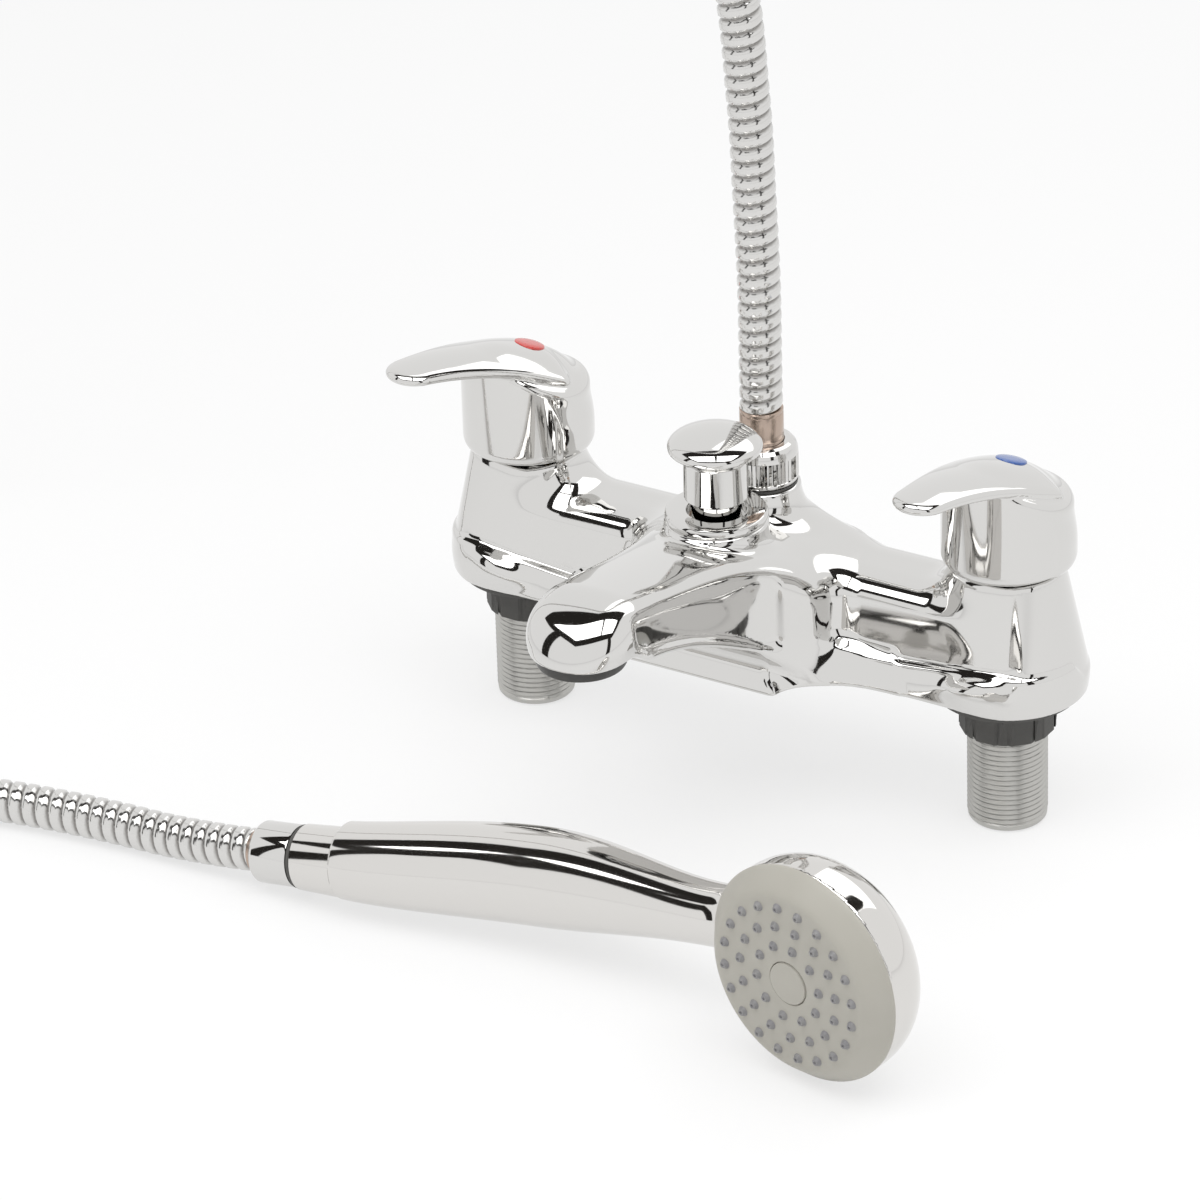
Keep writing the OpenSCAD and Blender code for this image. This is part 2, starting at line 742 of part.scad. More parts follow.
module diverter_knob() {
  stem_top = knob_rim_z - 2;
  dome_r = (knob_d*knob_d/4 + knob_dome*knob_dome)/(2*knob_dome);
  half_angle = asin(knob_d/2/dome_r);
  color(CHROME) rotate_extrude() polygon(concat(
    [
      [rod_r + shaft_fit, knob_foot_z], [neck_r, knob_foot_z], [neck_r, knob_foot_z + knob_neck_h],
      [knob_stem_r, knob_foot_z + knob_neck_h + 1], [knob_stem_r, stem_top - 1.5],
      [knob_d/2 - 1, knob_rim_z - knob_rim_t/2], [knob_d/2, knob_rim_z]
    ],
    arc([0, knob_rim_z + knob_rim_t/2 + knob_dome - dome_r], dome_r, 90 - half_angle, 90, 10),
    [[0, knob_foot_z + knob_rod_len], [rod_r + shaft_fit, knob_foot_z + knob_rod_len]]
  ));
}

rod_ring_z = seat_z - gland_h/2;

module diverter_stem() {
  color(BRASS) rotate_extrude() polygon([
    [0, piston_top - piston_t], [neck_r, piston_top - piston_t], [neck_r, piston_top], [rod_r, piston_top],
    [rod_r, rod_ring_z], [rod_r - ring_groove, rod_ring_z],
    [rod_r - ring_groove, rod_ring_z + 2*ring_groove], [rod_r, rod_ring_z + 2*ring_groove],
    [rod_r, knob_foot_z + knob_rod_len], [0, knob_foot_z + knob_rod_len]
  ]);
}

module diverter_ring() {
  color(BLACK) translate([0, 0, rod_ring_z + ring_groove]) rotate_extrude()
    translate([rod_r - ring_groove/2, 0]) circle(ring_groove/2 - 0.02, $fn = 24);
}

module diverter_washer() {
  color(BLACK) translate([0, 0, piston_top - piston_t - washer_t]) cylinder(r = neck_r + 1, h = washer_t);
}

// Outlet
module spout_outlet() {
  color(BLACK) rotate_extrude() polygon([
    [straightener_r + screw_fit, outlet_z - outlet_ring_h],
    [outlet_ring_d/2 - 1, outlet_z - outlet_ring_h], [outlet_ring_d/2, outlet_z - outlet_ring_h + 1],
    [outlet_ring_d/2, outlet_z], [outlet_thread_r, outlet_z],
    [outlet_thread_r, outlet_z + outlet_thread_len], [straightener_r - 2, outlet_z + outlet_thread_len],
    [straightener_r - 2, outlet_z + outlet_thread_len - 2],
    [straightener_r + screw_fit, outlet_z + outlet_thread_len - 2]
  ]);
}

module outlet_straightener() {
  h = outlet_thread_len - 2;
  pitch = 2*straightener_hole_r + 1;
  color(SATIN) translate([0, 0, outlet_z]) difference() {
    cylinder(r = straightener_r, h = h);
    for (ring_no = [0:2], k = [0:max(6*ring_no - 1, 0)])
      rotate([0, 0, ring_no > 0 ? 60*k/ring_no : 0]) translate([ring_no*pitch, 0, -over])
        cylinder(r = straightener_hole_r, h = h + 2*over, $fn = 24);
  }
}

// Hose connection
module hose_nipple() {
  color(BRASS) rotate_extrude() polygon([
    [nipple_bore_r, seat_z - nipple_spigot_len], [nipple_spigot_r, seat_z - nipple_spigot_len],
    [nipple_spigot_r, seat_z], [nipple_d/2 - 1, seat_z], [nipple_d/2 - 1, nut_z], [nipple_d/2, nut_z + 1],
    [nipple_d/2, washer_z], [nipple_bore_r, washer_z]
  ]);
}

module nipple_seal() {
  color(BLACK) translate([0, 0, seat_z]) difference() {
    cylinder(r = nut_d/2 - 0.2, h = nipple_seal_t - pass_gap);
    translate([0, 0, -over]) cylinder(r = nipple_d/2 - 1 + pass_gap, h = nipple_seal_t + 2*over);
  }
}

module check_valve() {
  r = nipple_bore_r - screw_fit;
  color(SATIN) translate([0, 0, seat_z - nipple_spigot_len + 3]) difference() {
    cylinder(r = r, h = nipple_spigot_len);
    for (k = [0:2]) rotate([0, 0, 120*k]) translate([r/2, 0, -over])
      cylinder(r = r/3, h = nipple_spigot_len + 2*over, $fn = 24);
  }
}

module hose_washer() {
  color(BLACK) translate([0, 0, washer_z]) difference() {
    cylinder(r = nipple_d/2 - 0.5, h = hose_washer_t);
    translate([0, 0, -over]) cylinder(r = ferrule_bore_r, h = hose_washer_t + 2*over);
  }
}

module hose_nut() {
  lip = ferrule_r + pass_gap;
  bore = nipple_d/2 + screw_fit;
  roof = flange_z + flange_t + pass_gap;
  color(CHROME) rotate_extrude() polygon(concat(
    [[bore, nut_z], [nut_d/2 - 0.6, nut_z], [nut_d/2, nut_z + 0.6]],
    arc([nut_d/2 - 3, nut_top - 3], 3, 0, 90, 5),
    [[lip, nut_top], [lip, roof], [bore, roof]]
  ));
}

module hose_ferrule() {
  color(NICKEL) rotate_extrude() polygon([
    [ferrule_bore_r, flange_z], [nipple_d/2 - 0.5, flange_z], [nipple_d/2 - 0.5, flange_z + flange_t],
    [ferrule_r, flange_z + flange_t], [ferrule_r, ferrule_top], [ferrule_bore_r, ferrule_top]
  ]);
}

// Ribbed hose: each rib is a crest ring and a groove ring, over a smooth bore
hose_sides = 8;
bore_rings = 70;
route_steps = 600;

// Table of length along the route against the curve's own count
route_last = len(hose_route) - 1;
route_fine = [for (i = [0:route_steps]) curve_point(hose_route, route_last*i/route_steps)];
function step_len(i) = i <= route_steps ? norm(route_fine[i] - route_fine[i - 1]) : 0;
route_run = [
  for (i = 0, s = 0; i <= route_steps; i = i + 1, s = s + step_len(i)) [s, route_last*i/route_steps]
];
hose_len = route_run[route_steps][0];
// Evenly spaced points on the route
function route_points(n) = [for (i = [0:n]) curve_point(hose_route, lookup(hose_len*i/n, route_run))];

module hose() {
  line = route_points(2*rib_count);
  bore_line = route_points(bore_rings);
  first = [1, 0, 0];
  line_frames = frames(line, first);
  bore_frames = frames(bore_line, first);
  outer = [
    for (i = [0:len(line) - 1]) ring(line[i], line_frames[i], hose_d/2 - (i % 2)*rib_depth, hose_sides)
  ];
  inner = [for (i = [0:bore_rings]) ring(bore_line[i], bore_frames[i], hose_bore/2, hose_sides)];
  color(CHROME) tube_skin(outer, inner, hose_sides);
}

// Handset
module handset_nut() {
  lip = grip_ferrule_r + pass_gap;
  bore = grip_thread_r + screw_fit;
  r = grip_nut_d/2;
  color(CHROME) along_grip() rotate_extrude() polygon([
    [lip, -grip_nut_len - grip_ring_t/2], [r - 1.5, -grip_nut_len - grip_ring_t/2],
    [r, -grip_nut_len - grip_ring_t/2 + 1.5], [r, -grip_ring_t/2 - pass_gap],
    [bore, -grip_ring_t/2 - pass_gap], [bore, -grip_nut_len + 3], [lip, -grip_nut_len + 3]
  ]);
}

module handset_ferrule() {
  start = -grip_nut_len - grip_ring_t/2 - grip_ferrule_show;
  flange = -grip_nut_len + 3 + pass_gap;
  color(NICKEL) along_grip() rotate_extrude() polygon([
    [hose_bore/2, start], [grip_ferrule_r, start], [grip_ferrule_r, flange], [grip_thread_r - 0.3, flange],
    [grip_thread_r - 0.3, flange + flange_t], [hose_bore/2, flange + flange_t]
  ]);
}

module handset_ring() {
  color(BLACK) along_grip() translate([0, 0, -grip_ring_t/2]) difference() {
    cylinder(d = grip_nut_d + 0.4, h = grip_ring_t);
    translate([0, 0, -over]) cylinder(r = grip_thread_r + screw_fit, h = grip_ring_t + 2*over);
  }
}

module handset_collar() {
  thread_len = grip_nut_len - 3 - 2*pass_gap - flange_t - grip_ring_t/2;
  start = grip_ring_t/2;
  spigot_r = grip_thread_r - 1;
  spigot_end = grip_z0 + 8;
  color(CHROME) along_grip() rotate_extrude() polygon([
    [hose_bore/2, -thread_len], [grip_thread_r, -thread_len], [grip_thread_r, start],
    [grip_nut_d/2 + 0.6, start], [grip_start_d/2 - 1.2, grip_z0],
    [spigot_r, grip_z0], [spigot_r, spigot_end], [hose_bore/2, spigot_end]
  ]);
}

// Handle: a bowed tube that swells, narrows to the neck and dips into the head
grip_rings = 20;
grip_sides = 24;
grip_z0 = grip_ring_t/2 + grip_collar_len;
grip_peak = 0.36;
neck_from = 0.74;
function grip_run(u) = grip_z0 + u*(grip_len - grip_z0);
function grip_axis(u) = [
  grip_run(u),
  grip_bow*pow(sin(180*min(u/neck_from, 1)), 1.4) - neck_dip*pow(max(u - neck_from, 0)/(1 - neck_from), 2),
  0
];
function grip_swell(u) = u < grip_peak
  ? grip_start_d/2 + (grip_d - grip_start_d)/2*sin(90*u/grip_peak)
  : neck_d/2 + (grip_d - neck_d)/4*(1 + cos(180*min((u - grip_peak)/(neck_from - grip_peak), 1)));

module handset_handle() {
  line = [for (i = [0:grip_rings]) grip_axis(i/grip_rings)];
  carried_frames = frames(line, [0, 1, 0]);
  // The first ring stands square on the collar
  line_frames = [for (i = [0:grip_rings]) i == 0 ? [[1, 0, 0], [0, 1, 0]] : carried_frames[i]];
  outer = [for (i = [0:grip_rings]) ring(line[i], line_frames[i], grip_swell(i/grip_rings), grip_sides)];
  inner = [
    for (i = [0:grip_rings]) ring(line[i], line_frames[i], grip_thread_r + 2*screw_fit, grip_sides)
  ];
  color(CHROME) difference() {
    on_handset() tube_skin(outer, inner, grip_sides);
    on_head() rotate_extrude() polygon(concat([[0, over]], head_outline(screw_fit), [[0, -head_depth]]));
  }
}

// Half outline of the head's back, from the rim to the crown, grown by a gap
function head_outline(gap) =
  let (r = head_d/2 + gap, depth = head_depth + gap - head_side)
  concat([[r, over], [r, -head_side]], [
    for (i = [1:12]) let (a = 90*i/12) [r*cos(a), -head_side - depth*sin(a)]
  ]);

module handset_head() {
  inside = head_outline(-shell_t);
  color(CHROME) on_head() difference() {
    rotate_extrude() difference() {
      polygon(concat([[0, 0], [head_d/2, 0]], [for (p = head_outline(0)) if (p[1] < 0) p]));
      polygon(concat([[post_r, over]], [for (p = inside) if (p[0] > post_r) p],
        [[post_r, -head_depth + shell_t + 0.5]]));
    }
    translate([0, 0, -screw_len]) cylinder(r = screw_d/2 + screw_fit, h = screw_len + over);
    // Waterway from the neck
    translate([-post_r - 1, 0, neck_dip - head_set]) rotate([0, -90, 0])
      cylinder(r = grip_thread_r - 2, h = head_d/2 - post_r);
  }
}

// Spray plate: a shallow cone from the rim to the flat field, with a hole for each nozzle
module nozzle_places() {
  for (row = nozzle_rings, k = [0:row[0] - 1])
    rotate([0, 0, 360*k/row[0]]) translate([row[1], 0, 0]) children();
}

module spray_plate() {
  r = head_d/2;
  color(FACE_GREY) on_head() difference() {
    rotate_extrude() polygon([
      [screw_d/2 + screw_fit, 0], [post_r, 0], [post_r, plate_rise - plate_wall],
      [plate_inner_r, plate_rise - plate_wall],
      [r - shell_t - 1, 0], [r - shell_t - 1, -2], [r - shell_t - screw_fit, -2],
      [r - shell_t - screw_fit, 0], [r, 0], [r, 1], [plate_d/2 + 1, plate_rise - 0.6],
      [plate_d/2, plate_rise], [cap_d/2, plate_rise],
      [cap_d/2, plate_rise - 1.2], [screw_d/2 + screw_fit, plate_rise - 1.2]
    ]);
    nozzle_places() cylinder(d = nozzle_d + 2*screw_fit, h = plate_rise + over, $fn = 24);
    translate([0, 0, plate_rise - 3.2]) cylinder(r = screw_head_d/2 + screw_fit, h = 4);
  }
}

module nozzle_mat() {
  top = plate_rise - plate_wall;
  color(NOZZLE_GREY) on_head() difference() {
    union() {
      translate([0, 0, top - mat_t]) cylinder(r = plate_inner_r - screw_fit, h = mat_t);
      nozzle_places() translate([0, 0, top - mat_t/2])
        cylinder(d = nozzle_d, h = mat_t/2 + plate_wall + nozzle_proud, $fn = 24);
    }
    translate([0, 0, top - mat_t - over]) cylinder(r = post_r + screw_fit, h = mat_t + 2*over);
  }
}

module plate_cap() {
  color(FACE_GREY) on_head() translate([0, 0, plate_rise - 1.2]) rotate_extrude() polygon([
    [0, 0], [cap_d/2 - screw_fit, 0], [cap_d/2 - screw_fit, 1.2], [cap_d/2 - 0.8, 1.6], [0, 1.6]
  ]);
}

module plate_screw() {
  color(STEEL) on_head() {
    translate([0, 0, plate_rise - 3.2]) cylinder(d = screw_head_d, h = 1.8);
    translate([0, 0, plate_rise - 3.2 - screw_len]) cylinder(d = screw_d, h = screw_len);
  }
}

mixer_body();
on_pillar(HOT) inlet_tail();  // hot_tail
on_pillar(COLD) inlet_tail();  // cold_tail
on_pillar(HOT) base_seal();  // hot_base_seal
on_pillar(COLD) base_seal();  // cold_base_seal
on_pillar(HOT) valve_body();  // hot_valve_body
on_pillar(COLD) valve_body();  // cold_valve_body
on_pillar(HOT) seat_seal();  // hot_seat_seal
on_pillar(COLD) seat_seal();  // cold_seat_seal
on_pillar(HOT) ceramic_disc(fixed_z);  // hot_fixed_disc
on_pillar(COLD) ceramic_disc(fixed_z);  // cold_fixed_disc
on_pillar(HOT) ceramic_disc(moving_z);  // hot_moving_disc
on_pillar(COLD) ceramic_disc(moving_z);  // cold_moving_disc
on_pillar(HOT) spindle();  // hot_spindle
on_pillar(COLD) spindle();  // cold_spindle
on_pillar(HOT) spindle_ring();  // hot_spindle_ring
on_pillar(COLD) spindle_ring();  // cold_spindle_ring
on_lever(HOT) lever();  // hot_lever
on_lever(COLD) lever();  // cold_lever
on_lever(HOT) lever_screw();  // hot_lever_screw
on_lever(COLD) lever_screw();  // cold_lever_screw
on_lever(HOT) index(HOT_RED);  // hot_index
on_lever(COLD) index(COLD_BLUE);  // cold_index
on_diverter() diverter_collar();
on_diverter() diverter_knob();
on_diverter() diverter_stem();
on_diverter() diverter_ring();
on_diverter() diverter_washer();
on_outlet() spout_outlet();
on_outlet() outlet_straightener();
hose_nipple();
nipple_seal();
check_valve();
hose_washer();
hose_nut();
hose_ferrule();
hose();
handset_nut();
handset_ferrule();
handset_ring();
handset_collar();
handset_handle();
handset_head();
spray_plate();
nozzle_mat();
plate_cap();
plate_screw();
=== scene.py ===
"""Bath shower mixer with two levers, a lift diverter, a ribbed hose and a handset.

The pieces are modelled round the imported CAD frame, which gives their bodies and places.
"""

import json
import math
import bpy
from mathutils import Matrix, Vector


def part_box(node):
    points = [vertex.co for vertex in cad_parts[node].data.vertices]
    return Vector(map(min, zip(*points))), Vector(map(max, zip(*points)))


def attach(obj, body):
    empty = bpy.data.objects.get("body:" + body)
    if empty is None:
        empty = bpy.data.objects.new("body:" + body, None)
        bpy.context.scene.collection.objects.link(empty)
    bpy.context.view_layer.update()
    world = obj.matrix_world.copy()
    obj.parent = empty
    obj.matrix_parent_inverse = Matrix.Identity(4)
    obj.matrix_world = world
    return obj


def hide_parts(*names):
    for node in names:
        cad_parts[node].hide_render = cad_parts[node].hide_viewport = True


bl_info = {
    "name": "Bath shower mixer",
    "version": (1, 0, 0),
    "blender": (4, 5, 0),
    "location": "View3D > Sidebar > Mixer",
    "description": "Builds a chrome bath shower mixer with its hose and handset on the packed CAD frame",
    "category": "Object",
}

import bpy
import numpy as np
from mathutils import Matrix, Vector

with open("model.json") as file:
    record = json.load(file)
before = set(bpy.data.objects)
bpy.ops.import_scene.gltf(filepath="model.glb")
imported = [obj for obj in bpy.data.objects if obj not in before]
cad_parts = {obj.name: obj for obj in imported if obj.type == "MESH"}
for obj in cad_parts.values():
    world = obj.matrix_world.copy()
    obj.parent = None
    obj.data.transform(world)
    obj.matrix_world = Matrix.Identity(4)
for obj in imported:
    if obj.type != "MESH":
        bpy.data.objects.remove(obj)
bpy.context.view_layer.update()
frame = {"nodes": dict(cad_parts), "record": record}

# Millimetres to metres
MM = 0.001

# Places of the CAD model, in millimetres: the deck plane is z = 0 and the spout points to -Y
PILLAR_X = 90.0
FOOT_Z = 2.0
PILLAR_TOP = 46.5
SEAT_Z = 54.5
LEVER_Z = 47.3
DIVERTER_Y = -30.0
OUTLET_Y = -115.0
OUTLET_Z = 46.0
FLOOR_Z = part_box("cold_tail")[0].z / MM
HANDSET_AT = (-85.3, -150.8, -33.5)
HANDSET_TURN = (0.0, -6.9, 1.9)
GRIP_LEN = 203.5
GRIP_START = 16.7
HEAD_SET = 27.0
HEAD_LEAN = -14.0

# Sizes of the cast body, in millimetres
PILLAR_R = 26.4
PILLAR_WIDEST_Z = 9.5
ARM_TOP = 36.3
ARM_BACK = 22.3
FRONT_Y = 20.6
LIP_Z = 11.2
LIP_RISE = 4.8
SPOUT_HALF = 18.4
NOSE_R = 18.45
NOSE_START = -104.0
NOSE_RUN = 29.6
NOSE_CURVE = 24.0
SPOUT_CLIMB = 0.205
SEAT_R = 31.5
SEAT_FLARE = 19.0
BOSS_R = 17.1
BODY_BACK = 25.9

# Sizes of a lever, from the middle of its skirt's lower edge
SKIRT_R = 21.4
HOOD_R = 22.5
CROWN_Y = -47
CROWN_Z = 42.4
BLADE_END = -44.5
BLADE_HALF = 9.5
LEVER_HOLLOW_R = 16.8

# Sizes of a tail's thread
THREAD_R = 13.22
THREAD_START = -45.2
THREAD_STOP = -14.0
INLET_R = 9.0

# Sizes of the handset's head
HEAD_R = 36.2
HEAD_DEPTH = 23.0

# The camera that was fitted to the photograph: degrees, and metres for its place
CAMERA_AZIMUTH = 31.79
CAMERA_ELEVATION = 28.322
CAMERA_ROLL = -1.867
CAMERA_AWAY = 2.337494
CAMERA_TARGET = (-0.063811, 0.0, -0.006491)

# The hose's route on its axis, as in the CAD source
HOSE_ROUTE = (
    (0, 0, 81), (0, 0, 97), (0, 0, 125), (-1, 0, 155), (-2, -1, 190), (-6, -3, 235), (-22, -7, 282),
    (-54, -12, 324), (-101, -17, 352), (-156, -21, 362), (-211, -23, 355), (-261, -23, 331),
    (-300, -22, 294), (-328, -20, 249), (-346, -18, 199), (-356, -17, 147), (-361, -17, 93),
    (-364, -20, 44), (-365, -32, -2), (-365, -57, -29), (-365, -92, -39.2), (-361, -128, -39.3),
    (-342, -161, -39.3), (-311, -179, -39.3), (-275, -179, -39.3), (-238, -169, -39.3),
    (-201, -159.5, -39.3), (-178, -155.5, -39.3), (-157, -153.2, -39.3), (-137, -152.3, -39),
    (-118.1, -151.9, -37.4), (-103.1, -151.4, -35.6),
)

# Nozzles of the spray plate: how many stand on each ring, and the ring's radius in millimetres
NOZZLE_RINGS = ((10, 12.6), (15, 19.4), (20, 26.0))


def linear(code):
    """Turns an sRGB hex colour into linear red, green, blue and alpha."""
    parts = [int(code[i:i + 2], 16) / 255 for i in (1, 3, 5)]
    return tuple(c / 12.92 if c <= 0.04045 else ((c + 0.055) / 1.055) ** 2.4 for c in parts) + (1.0,)


def length(name, description, default):
    """A size that a user may change, in metres."""
    return bpy.props.FloatProperty(
        name=name, description=description, default=default, unit="LENGTH", precision=5, min=0.0)


def colour(name, description, code):
    """A colour that a user may change, written as sRGB hex."""
    return bpy.props.FloatVectorProperty(
        name=name, description=description, default=linear(code), subtype="COLOR", size=4, min=0.0, max=1.0)


class MixerSizes(bpy.types.PropertyGroup):
    """Sizes of the dressed pieces"""

    thread_pitch: length("Thread pitch", "Distance between two crests of a tail's thread", 0.001814)
    thread_depth: length("Thread depth", "Depth of a tail's thread", 0.0007)
    rib_pitch: length("Rib pitch", "Distance between two ribs of the hose", 0.005)
    rib_depth: length("Rib depth", "Depth of the groove between two ribs", 0.0009)
    hose_diameter: length("Hose diameter", "Outside diameter of the hose over its ribs", 0.01415)
    knurl_count: bpy.props.IntProperty(
        name="Knurls", description="Number of flutes round the hose nut", default=48, min=12, max=120)
    knurl_depth: length("Knurl depth", "Depth of a flute", 0.0005)
    body_step: length("Body step", "Size of a face of the cast body", 0.0009)
    lever_step: length("Lever step", "Size of a face of a lever", 0.0007)
    handset_step: length("Handset step", "Size of a face of the handset's shell", 0.0010)


class MixerFinishes(bpy.types.PropertyGroup):
    """Colours of the finishes"""

    chrome: colour("Chrome", "Chrome plate on brass", "#D6D5D3")
    shell_chrome: colour("Shell chrome", "Chrome plate on the plastic handset", "#D9D7D4")
    hose_steel: colour("Hose", "Polished stainless steel strip of the hose", "#D8D7D5")
    satin: colour("Satin", "Nickel plate on the turned threads", "#BDBCB8")
    nickel: colour("Nickel", "Nickel plate of the ferrules", "#B9A79A")
    rubber: colour("Rubber", "Black rubber of the seals", "#454442")
    outlet: colour("Outlet", "Black plastic of the outlet ring", "#383735")
    face: colour("Spray plate", "Moulded plastic of the spray plate", "#B7B4AB")
    nozzle: colour("Nozzles", "Silicone rubber of the nozzles", "#9B9A98")
    hot: colour("Hot", "Index of the hot lever", "#D0463F")
    cold: colour("Cold", "Index of the cold lever", "#3F62A8")
    brass: colour("Brass", "Turned brass inside", "#B8A265")
    ceramic: colour("Ceramic", "Lapped ceramic discs", "#ECE8DC")
    floor: colour("Floor", "Plain pale floor", "#FAFAFA")


def sizes():
    """The sizes held by the scene."""
    return bpy.context.scene.mixer_sizes


def finishes():
    """The colours held by the scene."""
    return bpy.context.scene.mixer_finishes


# Materials

def add_node(tree, kind, settings=None, links=None):
    """Adds a node, gives it its settings and joins its inputs to the outputs of other nodes."""
    made = tree.nodes.new(kind)
    for key, value in (settings or {}).items():
        if isinstance(key, int) or key in made.inputs:
            made.inputs[key].default_value = value
        else:
            setattr(made, key, value)
    for key, source in (links or {}).items():
        tree.links.new(source, made.inputs[key])
    return made


def patches(width):
    """Scale of a noise whose patches are some millimetres wide."""
    return 1 / (width * MM)


def bands(gap):
    """Scale of a wave whose bands lie some millimetres apart."""
    return math.pi / (10 * gap * MM)


def started(name):
    """An empty material, or the one that was already made under that name."""
    known = bpy.data.materials.get(name)
    if known is not None and known.get("mixer_done"):
        return known, None
    made = bpy.data.materials.new(name)
    made.use_nodes = True
    made.node_tree.nodes.clear()
    made["mixer_done"] = True
    return made, made.node_tree


def chrome_plated_brass():
    """Cast brass, polished on a buff and chrome plated: a clear mirror with a trace of polishing haze."""
    made, tree = started("chrome_plated_brass")
    if tree is None:
        return made
    place = add_node(tree, "ShaderNodeTexCoord")
    # Buffing leaves soft patches some 20 mm wide
    haze = add_node(
        tree, "ShaderNodeTexNoise", {"Scale": patches(20), "Detail": 3.0},
        {"Vector": place.outputs["Object"]})
    rough = add_node(
        tree, "ShaderNodeMapRange", {"To Min": 0.03, "To Max": 0.075}, {"Value": haze.outputs["Fac"]})
    shader = add_node(
        tree, "ShaderNodeBsdfPrincipled",
        {"Base Color": finishes().chrome, "Metallic": 1.0}, {"Roughness": rough.outputs["Result"]})
    add_node(tree, "ShaderNodeOutputMaterial", links={"Surface": shader.outputs["BSDF"]})
    return made


def chrome_plated_abs():
    """Moulded ABS with a chrome plate: a mirror that is a little softer and warmer than plated brass."""
    made, tree = started("chrome_plated_abs")
    if tree is None:
        return made
    place = add_node(tree, "ShaderNodeTexCoord")
    # Sink and flow of the moulding, some 30 mm wide
    flow = add_node(
        tree, "ShaderNodeTexNoise", {"Scale": patches(30.3), "Detail": 2.0},
        {"Vector": place.outputs["Object"]})
    rough = add_node(
        tree, "ShaderNodeMapRange", {"To Min": 0.04, "To Max": 0.09}, {"Value": flow.outputs["Fac"]})
    shader = add_node(
        tree, "ShaderNodeBsdfPrincipled",
        {"Base Color": finishes().shell_chrome, "Metallic": 1.0}, {"Roughness": rough.outputs["Result"]})
    add_node(tree, "ShaderNodeOutputMaterial", links={"Surface": shader.outputs["BSDF"]})
    return made


def polished_stainless_strip():
    """Rolled stainless strip, wound and polished: bright ribs with fine scuffs, and painted shade that
    darkens the grooves.
    """
    made, tree = started("polished_stainless_strip")
    if tree is None:
        return made
    place = add_node(tree, "ShaderNodeTexCoord")
    # Scuffs some 1 mm wide, and painted shade in the grooves between the ribs, which the mesh marks
    lines = add_node(
        tree, "ShaderNodeTexNoise", {"Scale": patches(1.11), "Detail": 2.0},
        {"Vector": place.outputs["Object"]})
    rough = add_node(
        tree, "ShaderNodeMapRange", {"To Min": 0.08, "To Max": 0.2}, {"Value": lines.outputs["Fac"]})
    groove = add_node(tree, "ShaderNodeAttribute", {"attribute_name": "groove"})
    # Painted shade: the colour turns dark grey where the groove attribute is high, deep between the ribs
    tone = add_node(
        tree, "ShaderNodeMix",
        {"data_type": "RGBA", 6: finishes().hose_steel, 7: linear("#6E6A66")}, {0: groove.outputs["Fac"]})
    shader = add_node(
        tree, "ShaderNodeBsdfPrincipled", {"Metallic": 1.0},
        {"Base Color": tone.outputs[2], "Roughness": rough.outputs["Result"]})
    add_node(tree, "ShaderNodeOutputMaterial", links={"Surface": shader.outputs["BSDF"]})
    return made


def satin_nickel_thread():
    """Turned brass with a thin nickel plate: satin, with fine tool lines round it."""
    made, tree = started("satin_nickel_thread")
    if tree is None:
        return made
    place = add_node(tree, "ShaderNodeTexCoord")
    # Tool lines 0.6 mm apart, coarser than a lathe leaves them, so that they show
    lines = add_node(
        tree, "ShaderNodeTexWave",
        {"bands_direction": "Z", "Scale": bands(0.604), "Distortion": 0.6, "Detail": 1.0},
        {"Vector": place.outputs["Object"]})
    rough = add_node(
        tree, "ShaderNodeMapRange", {"To Min": 0.28, "To Max": 0.42}, {"Value": lines.outputs["Fac"]})
    bump = add_node(
        tree, "ShaderNodeBump", {"Strength": 0.15, "Distance": 0.0001}, {"Height": lines.outputs["Fac"]})
    shader = add_node(
        tree, "ShaderNodeBsdfPrincipled", {"Base Color": finishes().satin, "Metallic": 1.0},
        {"Roughness": rough.outputs["Result"], "Normal": bump.outputs["Normal"]})
    add_node(tree, "ShaderNodeOutputMaterial", links={"Surface": shader.outputs["BSDF"]})
    return made


def nickel_plated_steel():
    """Drawn steel tube with a warm nickel plate, brushed along its length."""
    made, tree = started("nickel_plated_steel")
    if tree is None:
        return made
    place = add_node(tree, "ShaderNodeTexCoord")
    stretch = add_node(
        tree, "ShaderNodeMapping", {"Scale": (1.0, 1.0, 0.05)}, {"Vector": place.outputs["Object"]})
    # Draw lines 0.5 mm wide, twenty times as long, drawn coarse enough to show
    lines = add_node(
        tree, "ShaderNodeTexNoise", {"Scale": patches(0.5), "Detail": 2.0},
        {"Vector": stretch.outputs["Vector"]})
    rough = add_node(
        tree, "ShaderNodeMapRange", {"To Min": 0.16, "To Max": 0.32}, {"Value": lines.outputs["Fac"]})
    shader = add_node(
        tree, "ShaderNodeBsdfPrincipled", {"Base Color": finishes().nickel, "Metallic": 1.0},
        {"Roughness": rough.outputs["Result"]})
    add_node(tree, "ShaderNodeOutputMaterial", links={"Surface": shader.outputs["BSDF"]})
    return made


